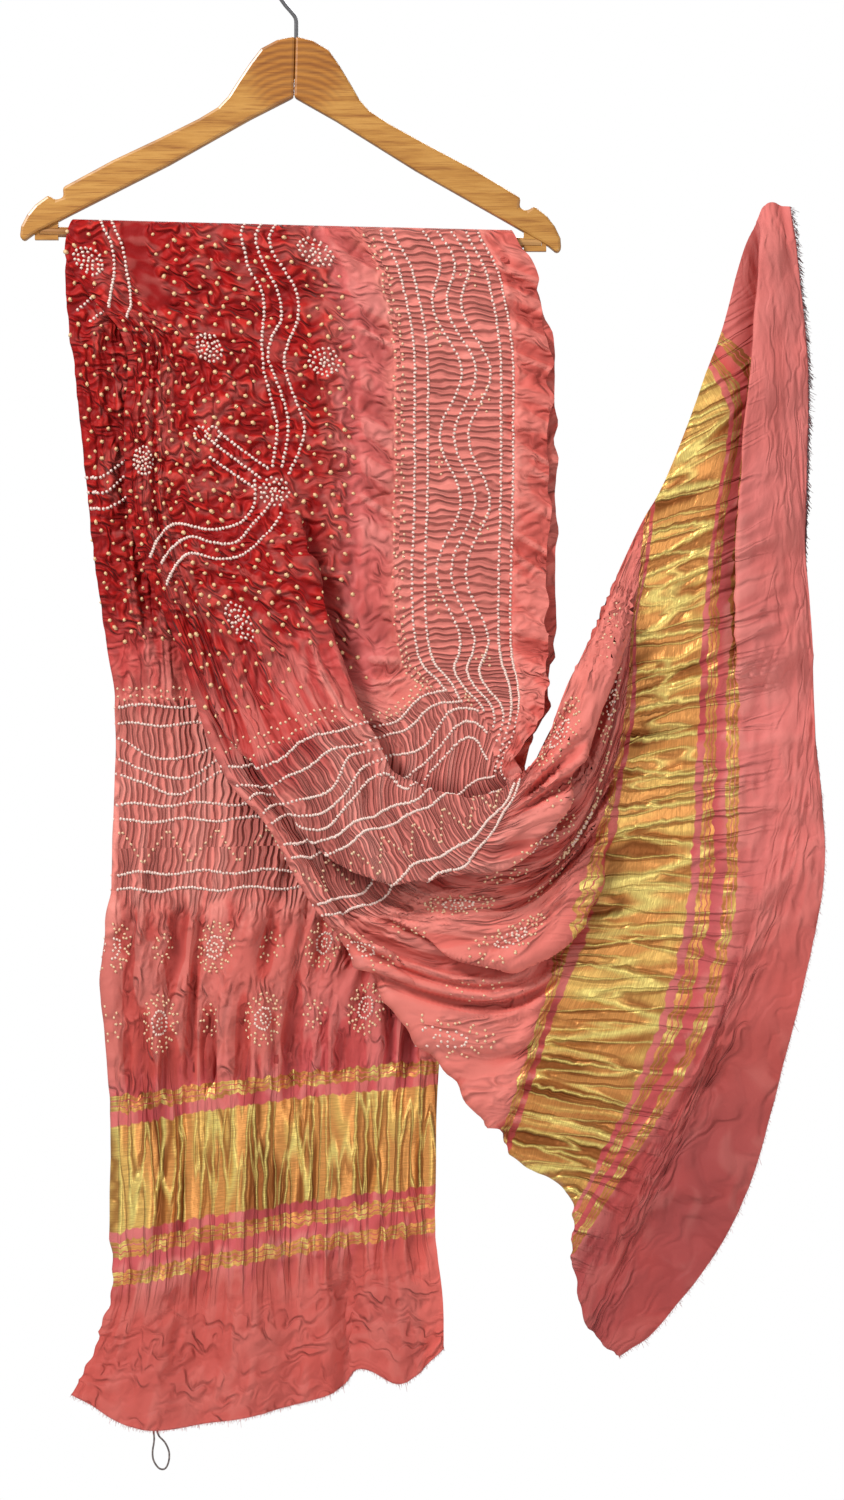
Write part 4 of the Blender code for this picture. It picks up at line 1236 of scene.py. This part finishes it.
        sweep = graph.node("ShaderNodeAttribute", attribute_name="sweep").outputs["Fac"]
        crest, trough = self.crests(graph, sweep, signed, warp)
        pulled = graph.span(along, 0.705, 0.892, 0.034)
        # Painted shade along the troughs of the pulled creases, on the pink too
        crease = graph.math("MAXIMUM", crease, graph.math("MULTIPLY", trough, graph.math("MULTIPLY", pulled, 0.46)))
        relief = graph.node("ShaderNodeAttribute", attribute_name="relief").outputs["Fac"]
        under = graph.node("ShaderNodeAttribute", attribute_name="shade").outputs["Fac"]
        calm = graph.math("MULTIPLY_ADD", ends, -0.65, 1.0)
        # Painted shade in the hollows of the relief, and painted highlight on its raised parts
        hollow = graph.math("MULTIPLY", graph.step(relief, -0.95, 0.25, 1.0, 0.0), calm)
        raised = graph.math("MULTIPLY", graph.step(relief, 0.15, 0.55), calm)
        # Painted shade: the hollows, the creases and the band under each lip darken the colour towards a deep red
        shade = graph.math("MAXIMUM", graph.math("MULTIPLY", hollow, 0.62), graph.math("MULTIPLY", crease, 0.90))
        shade = graph.math("MAXIMUM", shade, graph.math("MULTIPLY", under, 0.95))
        # Painted highlight: the lit tops of the puffs in the red field
        colour = graph.mix(graph.math("MULTIPLY", graph.step(rumple, 0.10, 0.24), graph.math("MULTIPLY", tied, 0.60)), colour, self.lit_red)
        darker = graph.mix(graph.math("MULTIPLY_ADD", red, 0.08, 0.70), colour, self.painted_shade_red)
        colour = graph.mix(shade, colour, darker)
        # Painted highlight: the raised parts of the relief lightened towards a pale pink
        lighter = graph.mix(0.20, colour, srgb(255, 186, 172))
        colour = graph.mix(graph.math("MULTIPLY", raised, graph.math("MULTIPLY_ADD", red, -0.6, 1.0)), colour, lighter)
        patchy = graph.step(graph.noise(places, 11.0, 4.0), 0.30, 0.75, 0.0, 0.34)
        colour = graph.mix(graph.math("MULTIPLY", patchy, plain), colour, srgb(206, 74, 64))

        pull = graph.noise(graph.join(graph.math("MULTIPLY", sweep, 1 / 0.0095), graph.math("MULTIPLY", signed, 1 / 0.030)), 1.0, 1.0)
        drawn = graph.math("MULTIPLY_ADD", graph.math("SUBTRACT", pull, 0.5), 0.0100, along)
        gold = self.gold_mask(graph, drawn)
        # Painted shade in the hollows of the gold's relief, and painted highlight on its crests
        metal = graph.ramp(
            graph.math("MULTIPLY_ADD", relief, 0.5, 0.5),
            ((0.05, self.bronze), (0.32, self.gold), (0.82, self.gold), (0.98, self.painted_crest_highlight_gold)),
        )
        # Painted shade in the troughs under the crests
        metal = graph.mix(graph.math("MULTIPLY", trough, 0.70), metal, self.bronze)
        # Painted shade on the gold of the lower front end too
        metal = graph.mix(graph.math("MULTIPLY", low, 0.50), metal, self.bronze)
        # Painted highlight on the thin crests
        metal = graph.mix(graph.math("MULTIPLY", crest, 0.90), metal, self.painted_highlight_gold)
        # Orange-gold patches at random from noise, on the thin gold lines only
        thin = graph.math("MULTIPLY", graph.span(drawn, 0.7220, 0.8300, 0.0008), -0.62)
        orange_patches = graph.math("MULTIPLY", graph.step(graph.noise(places, 75.0, 2.0), 0.40, 0.62), graph.math("ADD", thin, 0.62))
        metal = graph.mix(orange_patches, metal, self.patchy_orange_gold)
        # Painted shadow under the lips on the gold too
        metal = graph.mix(graph.math("MULTIPLY", under, 0.80), metal, srgb(98, 46, 26))
        puffs = graph.math("ADD", puffs, graph.math("MULTIPLY", graph.math("SUBTRACT", crest, trough), graph.math("MULTIPLY", pulled, 0.30)))
        threads = graph.noise(graph.join(graph.math("MULTIPLY", across, 0.04), signed), 1300.0, 1.0)
        metal = graph.mix(graph.step(threads, 0.40, 0.62, 0.35, 0.0), metal, self.bronze)
        colour = graph.mix(gold, colour, metal)

        weave = graph.noise(places, 1500.0, 1.0)
        normal = graph.bump(weave, 0.00010, 0.30)
        normal = graph.bump(puffs, 0.0042, 1.0, normal)
        rough = graph.math("SUBTRACT", 0.62, graph.math("MULTIPLY", gold, 0.20))
        graph.shader.inputs["Sheen Weight"].default_value = self.sheen
        graph.shader.inputs["Sheen Roughness"].default_value = 0.4
        graph.shader.inputs["Specular IOR Level"].default_value = 0.20
        return graph.finish(colour, rough, graph.math("MULTIPLY", gold, 0.55), normal)


@dataclass(frozen=True)
class TiedDot:
    """The undyed tips of the tied dots, from cream to pearl white."""

    cream: tuple = srgb(248, 210, 158)
    pearl: tuple = srgb(255, 234, 222)

    def build(self) -> bpy.types.Material:
        """Make the material."""
        graph = Graph("tied_dots")
        tone = graph.node("ShaderNodeAttribute", attribute_name="tone").outputs["Fac"]
        coordinates = graph.node("ShaderNodeTexCoord").outputs["Object"]
        grain = graph.noise(coordinates, 900.0, 2.0)
        colour = graph.mix(tone, self.cream, self.pearl)
        colour = graph.mix(graph.step(grain, 0.35, 0.7, 0.0, 0.25), colour, srgb(214, 120, 104), "MULTIPLY")
        return graph.finish(colour, 0.6, 0.0, graph.bump(grain, 0.0003, 0.5))


@dataclass(frozen=True)
class HoneyWood:
    """Lacquered honey-coloured wood, darker and figured over the hump."""

    name: str
    slope: float
    pale: tuple = srgb(206, 150, 74)
    mid: tuple = srgb(192, 134, 60)
    dark: tuple = srgb(164, 106, 44)

    def build(self) -> bpy.types.Material:
        """Make the material."""
        graph = Graph(self.name)
        coordinates = graph.node("ShaderNodeTexCoord").outputs["Object"]
        turned = graph.node("ShaderNodeMapping")
        graph.put(turned.inputs["Vector"], coordinates)
        turned.inputs["Rotation"].default_value = (0.0, self.slope, 0.0)
        turned.inputs["Scale"].default_value = (7.0, 60.0, 75.0)
        grain = graph.noise(turned.outputs[0], 2.2, 4.0, 0.6)
        fine = graph.node("ShaderNodeMapping")
        graph.put(fine.inputs["Vector"], coordinates)
        fine.inputs["Rotation"].default_value = (0.0, self.slope, 0.0)
        fine.inputs["Scale"].default_value = (40.0, 900.0, 1400.0)
        pores = graph.noise(fine.outputs[0], 1.0, 2.0)
        colour = graph.ramp(grain, ((0.30, self.dark), (0.46, self.mid), (0.62, self.pale), (0.80, self.mid)))
        apart = graph.node("ShaderNodeSeparateXYZ")
        graph.put(apart.inputs[0], coordinates)
        reach = graph.node("ShaderNodeVectorMath", operation="DISTANCE")
        graph.put(reach.inputs[0], coordinates)
        reach.inputs[1].default_value = (0.0, 0.0, -0.088)
        hump = graph.step(reach.outputs["Value"], 0.030, 0.052, 1.0, 0.0)
        rings = graph.node("ShaderNodeTexWave", wave_type="RINGS", rings_direction="Y")
        offset = graph.node("ShaderNodeMapping")
        graph.put(offset.inputs["Vector"], coordinates)
        offset.inputs["Location"].default_value = (0.0, 0.0, 0.150)
        graph.put(rings.inputs["Vector"], offset.outputs[0])
        rings.inputs["Scale"].default_value = 55.0
        rings.inputs["Distortion"].default_value = 2.5
        rings.inputs["Detail"].default_value = 2.0
        figured = graph.mix(rings.outputs["Fac"], srgb(138, 76, 22), srgb(184, 114, 36))
        colour = graph.mix(graph.math("MULTIPLY", hump, 0.70), colour, figured)
        colour = graph.mix(graph.step(pores, 0.50, 0.72, 0.0, 0.45), colour, self.dark, "MULTIPLY")
        graph.shader.inputs["Coat Weight"].default_value = 0.35
        graph.shader.inputs["Coat Roughness"].default_value = 0.22
        return graph.finish(colour, 0.42, 0.0, graph.bump(pores, 0.0002, 0.4))


@dataclass(frozen=True)
class BrightSteel:
    """Plated steel wire."""

    colour: tuple = srgb(176, 176, 180)

    def build(self) -> bpy.types.Material:
        """Make the material."""
        graph = Graph("hook_steel")
        coordinates = graph.node("ShaderNodeTexCoord").outputs["Object"]
        scratches = graph.noise(coordinates, 700.0, 3.0)
        colour = graph.mix(graph.step(scratches, 0.4, 0.7, 0.0, 0.4), self.colour, srgb(110, 110, 116))
        rough = graph.step(scratches, 0.3, 0.8, 0.22, 0.42)
        return graph.finish(colour, rough, 1.0, graph.bump(scratches, 0.0001, 0.3))


@dataclass(frozen=True)
class Yarn:
    """Loose thread, dyed or plain."""

    name: str
    light: tuple
    dark: tuple

    def build(self) -> bpy.types.Material:
        """Make the material."""
        graph = Graph(self.name)
        coordinates = graph.node("ShaderNodeTexCoord").outputs["Object"]
        twist = graph.noise(coordinates, 520.0, 2.0)
        colour = graph.mix(graph.step(twist, 0.35, 0.65), self.dark, self.light)
        graph.shader.inputs["Sheen Weight"].default_value = 0.3
        return graph.finish(colour, 0.75, 0.0, graph.bump(twist, 0.0002, 0.6))


def mesh_piece(name: str, points: np.ndarray, faces: np.ndarray) -> bpy.types.Object:
    """Make an object from arrays of points and of faces with equal corners.

    Args:
        name: The piece's name.
        points: Positions, one row each.
        faces: Indices of corners, one row for each face.

    Returns:
        The linked object, shaded smooth.
    """
    mesh = bpy.data.meshes.new(name)
    corners = faces.shape[1]
    mesh.vertices.add(len(points))
    mesh.vertices.foreach_set("co", np.asarray(points, np.float32).ravel())
    mesh.loops.add(faces.size)
    mesh.loops.foreach_set("vertex_index", faces.astype(np.int32).ravel())
    mesh.polygons.add(len(faces))
    mesh.polygons.foreach_set("loop_start", np.arange(0, faces.size, corners, dtype=np.int32))
    mesh.update(calc_edges=True)
    mesh.validate()
    mesh.shade_smooth()
    piece = bpy.data.objects.new(name, mesh)
    bpy.context.scene.collection.objects.link(piece)
    return piece


def add_values(piece: bpy.types.Object, name: str, values: np.ndarray) -> None:
    """Store one value for each point of a piece."""
    attribute = piece.data.attributes.new(name, "FLOAT", "POINT")
    attribute.data.foreach_set("value", np.asarray(values, np.float32).ravel())


def apply_modifiers(piece: bpy.types.Object) -> None:
    """Apply all the modifiers of a piece."""
    bpy.ops.object.select_all(action="DESELECT")
    bpy.context.view_layer.objects.active = piece
    piece.select_set(True)
    for modifier in list(piece.modifiers):
        bpy.ops.object.modifier_apply(modifier=modifier.name)
    piece.select_set(False)


@dataclass
class Cloth:
    """The whole cloth: four sheets, their tied dots and their frayed ends."""

    silk: bpy.types.Material
    dot_finish: bpy.types.Material
    fray_finish: bpy.types.Material
    dark_fray_finish: bpy.types.Material
    puckers: Puckers = field(default_factory=Puckers)
    # The pieces that each layer is made of
    cuts: dict = field(
        default_factory=lambda: {
            (Side.FRONT, Layer.OUTER): (
                Cut(0.0, SEAM_AT, 250, 184, "_upper"),
                Cut(SEAM_AT - SEAM_LAP, HALF_LENGTH, 205, 230, "_lower"),
            ),
            (Side.FRONT, Layer.INNER): (Cut(0.0, HALF_LENGTH, 190, 70),),
            (Side.BACK, Layer.INNER): (Cut(0.0, HALF_LENGTH, 270, 150),),
            (Side.BACK, Layer.OUTER): (Cut(0.0, HALF_LENGTH, 230, 92),),
        }
    )
    dot_sides: int = 6
    fray_step: float = 0.0006
    # The upper part of the end, right of and above this X and Z, frays dark
    dark_fray_from: tuple = (0.395, -0.500)

    def build(self) -> list[bpy.types.Object]:
        """Build all the pieces of the cloth."""
        halves = (Half(Side.FRONT, FRONT_RIBS, FRONT_DEPTHS, 0.0), Half(Side.BACK, BACK_RIBS, BACK_DEPTHS, 3.1))
        patterns = {
            Side.FRONT: TiedPattern(corner_end=0.372).build(),
            Side.BACK: TiedPattern(rosettes=BACK_ROSETTES, curl_ways=BACK_CURLS).build(),
        }
        pieces = []
        for half in halves:
            sheets = []
            for layer in Layer:
                for cut in self.cuts[(half.side, layer)]:
                    sheets.append(half.sheet(layer, cut, self.puckers))
            dots = self.dot_piece(half.side, sheets, patterns[half.side])
            frays = self.fray_piece(half.side, [sheet for sheet in sheets if sheet.along.max() > 0.98])
            pieces += [dots, frays]
            for sheet in sheets:
                piece = self.sheet_piece(sheet)
                pieces.append(piece)
        return pieces

    def sheet_piece(self, sheet: Sheet) -> bpy.types.Object:
        """Turn a sheet's grid into a thin closed piece of silk."""
        rows, columns = sheet.along.shape
        index = np.arange(rows * columns).reshape(rows, columns)
        a, b = index[:-1, :-1].ravel(), index[:-1, 1:].ravel()
        c, d = index[1:, 1:].ravel(), index[1:, :-1].ravel()
        toward_viewer = (sheet.side is Side.FRONT) == (sheet.layer is Layer.OUTER)
        normals = grid_normals(sheet.points)
        forward = (normals[..., 1].mean() < 0) == toward_viewer
        faces = np.column_stack([a, b, c, d] if forward else [a, d, c, b])
        piece = mesh_piece(sheet.name, sheet.points.reshape(-1, 3), faces)
        add_values(piece, "relief", np.clip(sheet.relief / 0.0030, -1.0, 1.0))
        add_values(piece, "shade", sheet.shade)
        add_values(piece, "sweep", sheet.sweep)
        flat = np.stack([sheet.across.ravel(), sheet.side.value * sheet.along.ravel()], axis=1)
        layer = piece.data.uv_layers.new(name="flat")
        corners = np.zeros(len(piece.data.loops), np.int32)
        piece.data.loops.foreach_get("vertex_index", corners)
        layer.data.foreach_set("uv", flat[corners].astype(np.float32).ravel())
        piece.data.materials.append(self.silk)
        solid = piece.modifiers.new("thickness", "SOLIDIFY")
        solid.thickness = SILK_THICKNESS
        solid.offset = -1.0
        apply_modifiers(piece)
        piece.data.set_sharp_from_angle(angle=math.radians(80))
        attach(piece, "root")
        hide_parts("cloth")
        LOG.info("%s: %d faces", piece.name, len(piece.data.polygons))
        return piece

    def dot_piece(self, side: Side, sheets: list[Sheet], pattern: Dots) -> bpy.types.Object:
        """Set a small faceted bead on each tied dot of one half."""
        across, along = np.array(pattern.across), np.array(pattern.along)
        radius, tone = np.array(pattern.radius), np.array(pattern.tone)
        spots, normals, sizes, tones = [], [], [], []
        for sheet in sheets:
            found, spot, normal = sheet.locate(across, along)
            toward_viewer = (sheet.side is Side.FRONT) == (sheet.layer is Layer.OUTER)
            if (normal[:, 1].mean() < 0) != toward_viewer:
                normal = -normal
            spots.append(spot)
            normals.append(normal)
            sizes.append(radius[found])
            tones.append(tone[found])
        spots, normals = np.concatenate(spots), np.concatenate(normals)
        sizes, tones = np.concatenate(sizes), np.concatenate(tones)
        turns = np.linspace(0, 2 * math.pi, self.dot_sides, endpoint=False)
        helper = np.where(np.abs(normals[:, 2:3]) > 0.9, [[1.0, 0.0, 0.0]], [[0.0, 0.0, 1.0]])
        right = np.cross(normals, helper)
        right /= np.linalg.norm(right, axis=1, keepdims=True)
        up = np.cross(right, normals)
        rng = np.random.default_rng(51 + side.value)
        stretch = rng.uniform(0.85, 1.30, (len(spots), 1))
        spin = rng.uniform(0, math.pi, (len(spots), 1))
        long = (right * np.cos(spin) + up * np.sin(spin)) * stretch
        wide = (up * np.cos(spin) - right * np.sin(spin)) / np.sqrt(stretch)
        tip = 0.95 * normals + 0.25 * long
        rim = [long * math.cos(turn) + wide * math.sin(turn) + 0.15 * normals for turn in turns]
        shape = np.stack([*rim, tip, -0.35 * normals], axis=1)
        points = spots[:, None, :] + shape * sizes[:, None, None]
        count = self.dot_sides
        local = []
        for i in range(count):
            local.append((i, (i + 1) % count, count))
            local.append(((i + 1) % count, i, count + 1))
        local = np.array(local)
        faces = (np.arange(len(spots))[:, None, None] * (count + 2) + local[None]).reshape(-1, 3)
        piece = mesh_piece(f"tied_dots_{side.name.lower()}", points.reshape(-1, 3), faces)
        add_values(piece, "tone", np.repeat(tones, count + 2))
        piece.data.materials.append(self.dot_finish)
        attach(piece, "root")
        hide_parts("cloth")
        LOG.info("%s: %d dots", piece.name, len(spots))
        return piece

    def fray_piece(self, side: Side, sheets: list[Sheet]) -> bpy.types.Object:
        """Hang short loose threads from the cut ends of one half."""
        rng = np.random.default_rng(41 + side.value)
        roots, ways = [], []
        for sheet in sheets:
            line, before = sheet.points[-1], sheet.points[-6]
            run = np.concatenate([[0.0], np.cumsum(np.linalg.norm(np.diff(line, axis=0), axis=1))])
            marks = np.arange(0.0, run[-1], self.fray_step)
            root = np.column_stack([np.interp(marks, run, line[:, axis]) for axis in range(3)])
            back = np.column_stack([np.interp(marks, run, before[:, axis]) for axis in range(3)])
            way = root - back
            roots.append(root)
            ways.append(way / np.linalg.norm(way, axis=1, keepdims=True))
        root, way = np.concatenate(roots), np.concatenate(ways)
        count = len(root)
        cut_edge = (root[:, 0] > self.dark_fray_from[0]) & (root[:, 2] > self.dark_fray_from[1])
        length = rng.uniform(0.0008, 0.0024, count) * np.where(rng.random(count) < 0.05, 1.8, 1.0)
        length = np.where(cut_edge, rng.uniform(0.0024, 0.0046, count), length)
        lean = rng.normal(0.0, 0.35, (count, 3))
        drop = np.array([0.0, 0.0, -0.35])
        steps = (0.0, 0.45, 1.0)
        radius = rng.uniform(0.00016, 0.00030, count) * np.where(cut_edge, 2.6, 1.0)
        rings = []
        for step in steps:
            centre = root + (way * step + (lean + drop) * step**2) * length[:, None] - way * 0.0008
            for turn in (0.0, 2.1, 4.2):
                spin = np.array([math.cos(turn), math.sin(turn), 0.0])
                rings.append(centre + spin * (radius * (1.0 - 0.5 * step))[:, None])
        points = np.stack(rings, axis=1)
        local = [(0, 2, 1), (6, 7, 8)]
        for level in (0, 3):
            for i in range(3):
                j = (i + 1) % 3
                local.append((level + i, level + j, level + 3 + j))
                local.append((level + i, level + 3 + j, level + 3 + i))
        faces = (np.arange(count)[:, None, None] * 9 + np.array(local)[None]).reshape(-1, 3)
        piece = mesh_piece(f"frayed_ends_{side.name.lower()}", points.reshape(-1, 3), faces)
        piece.data.materials.append(self.fray_finish)
        piece.data.materials.append(self.dark_fray_finish)
        piece.data.polygons.foreach_set("material_index", np.repeat(cut_edge.astype(np.int32), len(local)))
        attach(piece, "root")
        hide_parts("cloth")
        LOG.info("%s: %d threads", piece.name, count)
        return piece


@dataclass
class Hanger:
    """The hanger's own solids, given their finishes."""

    arm_slope: float = math.radians(27.0)

    def dress(self) -> None:
        """Give each node of the hanger its finish."""
        finishes = {
            "hanger_arm_left": HoneyWood("left_arm_wood", -self.arm_slope).build(),
            "hanger_arm_right": HoneyWood("right_arm_wood", self.arm_slope).build(),
            "trouser_bar": HoneyWood("bar_wood", 0.0, srgb(200, 150, 90), srgb(178, 124, 66), srgb(150, 98, 48)).build(),
            "hook": BrightSteel().build(),
        }
        for name, material in finishes.items():
            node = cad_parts[name]
            node.data.materials.clear()
            node.data.materials.append(material)
            LOG.info("%s: %s", name, material.name)


@dataclass
class HemLoop:
    """The loop of thread under the back hem, without the small knot that ties it."""

    finish: bpy.types.Material
    samples: int = 60

    def build(self) -> bpy.types.Object:
        """Build the loop along its solid's route."""
        low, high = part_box("hem_loop")
        left = (LOOP_X - STEM_X) * VIEW_SCALE
        depth = (low[1] + high[1]) / 2
        route = [(left + a * VIEW_SCALE, depth, high[2] - b * VIEW_SCALE) for a, b in LOOP_ROUTE]
        points = curve_through(route, self.samples)
        curve = bpy.data.curves.new("hem_loop_thread", "CURVE")
        curve.dimensions = "3D"
        spline = curve.splines.new("POLY")
        spline.points.add(len(points) - 1)
        for spot, point in zip(spline.points, points):
            spot.co = (*point, 1.0)
        curve.bevel_depth = THREAD_DIAMETER / 2
        curve.bevel_resolution = 3
        curve.use_fill_caps = True
        curve.materials.append(self.finish)
        piece = bpy.data.objects.new("hem_loop_thread", curve)
        bpy.context.scene.collection.objects.link(piece)
        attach(piece, "root")
        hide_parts("hem_loop")
        return piece


@dataclass
class Studio:
    """The floor, the lights and the camera at the photograph's viewing angle."""

    camera_distance: float = 3.6
    sensor: float = 36.0
    sight_depth: float = -0.02
    floor_height: float = -1.38
    floor_middle_x: float = 0.10
    floor_size: tuple = (1.8, 1.1, 1.0)

    def build(self) -> None:
        """Set up the whole studio."""
        self.add_floor()
        self.add_world()
        self.add_light("key", (-1.7, -1.7, 1.3), 0.6, 86.0)
        self.add_light("fill", (1.7, -2.4, -1.0), 1.6, 23.0)
        self.add_light("rim", (0.5, 2.6, 0.9), 1.6, 46.0)
        self.add_camera()

    def add_floor(self) -> None:
        """Lay a plain pale floor under the hanging cloth."""
        graph = Graph("pale_floor")
        coordinates = graph.node("ShaderNodeTexCoord").outputs["Object"]
        cloudy = graph.noise(coordinates, 1.5, 2.0)
        colour = graph.mix(cloudy, srgb(240, 240, 239), srgb(248, 248, 247))
        material = graph.finish(colour, 0.8)
        bpy.ops.object.select_all(action="DESELECT")
        bpy.ops.mesh.primitive_grid_add(x_subdivisions=8, y_subdivisions=8, size=1.0)
        floor = bpy.context.active_object
        floor.name = "studio_floor"
        floor.scale = self.floor_size
        floor.location = (self.floor_middle_x, 0.0, self.floor_height)
        bpy.ops.object.transform_apply(location=True, rotation=True, scale=True)
        floor.data.materials.append(material)
        floor.select_set(False)

    def add_world(self) -> None:
        """Light everything softly, and show plain white behind the object."""
        world = bpy.data.worlds.new("studio_world")
        bpy.context.scene.world = world
        world.use_nodes = True
        tree = world.node_tree
        tree.nodes.clear()
        rays = tree.nodes.new("ShaderNodeLightPath")
        soft, bright = tree.nodes.new("ShaderNodeBackground"), tree.nodes.new("ShaderNodeBackground")
        soft.inputs["Color"].default_value = (1.0, 0.98, 0.95, 1.0)
        soft.inputs["Strength"].default_value = 0.31
        bright.inputs["Color"].default_value = (1.0, 1.0, 1.0, 1.0)
        mixed, out = tree.nodes.new("ShaderNodeMixShader"), tree.nodes.new("ShaderNodeOutputWorld")
        tree.links.new(rays.outputs["Is Camera Ray"], mixed.inputs[0])
        tree.links.new(soft.outputs[0], mixed.inputs[1])
        tree.links.new(bright.outputs[0], mixed.inputs[2])
        tree.links.new(mixed.outputs[0], out.inputs[0])

    def add_light(self, name: str, location: tuple, size: float, power: float) -> None:
        """Add one soft area light that faces the cloth's middle."""
        light = bpy.data.lights.new(name, "AREA")
        light.shape = "SQUARE"
        light.size = size
        light.energy = power
        lamp = bpy.data.objects.new(name, light)
        bpy.context.scene.collection.objects.link(lamp)
        middle = place(np.array(VIEW_WIDTH / 2), np.array(VIEW_HEIGHT / 2), np.array(0.0))
        toward = middle - np.array(location)
        yaw = math.atan2(toward[1], toward[0]) - math.pi / 2
        pitch = math.atan2(toward[2], math.hypot(toward[0], toward[1])) + math.pi / 2
        lamp.location = location
        lamp.rotation_euler = (pitch, 0.0, yaw)

    def add_camera(self) -> None:
        """Look straight along +Y at the middle of the photograph's frame."""
        camera = bpy.data.cameras.new("camera")
        camera.sensor_width = self.sensor
        height = VIEW_HEIGHT * VIEW_SCALE
        camera.lens = self.sensor * self.camera_distance / height
        eye = bpy.data.objects.new("camera", camera)
        bpy.context.scene.collection.objects.link(eye)
        middle = place(np.array(VIEW_WIDTH / 2), np.array(VIEW_HEIGHT / 2), np.array(0.0))
        eye.location = (middle[0], self.sight_depth - self.camera_distance, middle[2])
        eye.rotation_euler = (math.pi / 2, 0.0, 0.0)
        bpy.context.scene.camera = eye
        bpy.context.scene.view_settings.view_transform = "Standard"


def main() -> None:
    """Build the cloth, dress the hanger and set up the studio."""
    logging.basicConfig(level=logging.INFO, format="%(name)s: %(message)s")
    Studio().build()
    HemLoop(Yarn("grey_thread", srgb(128, 116, 112), srgb(70, 60, 60)).build()).build()
    Hanger().dress()
    cloth = Cloth(
        DyedSilk().build(),
        TiedDot().build(),
        Yarn("pink_fray", srgb(214, 112, 108), srgb(150, 60, 60)).build(),
        Yarn("dark_fray", srgb(132, 56, 58), srgb(64, 30, 36)).build(),
    )
    pieces = cloth.build()
    LOG.info("the cloth has %d pieces", len(pieces))


if __name__ == "__main__":
    main()
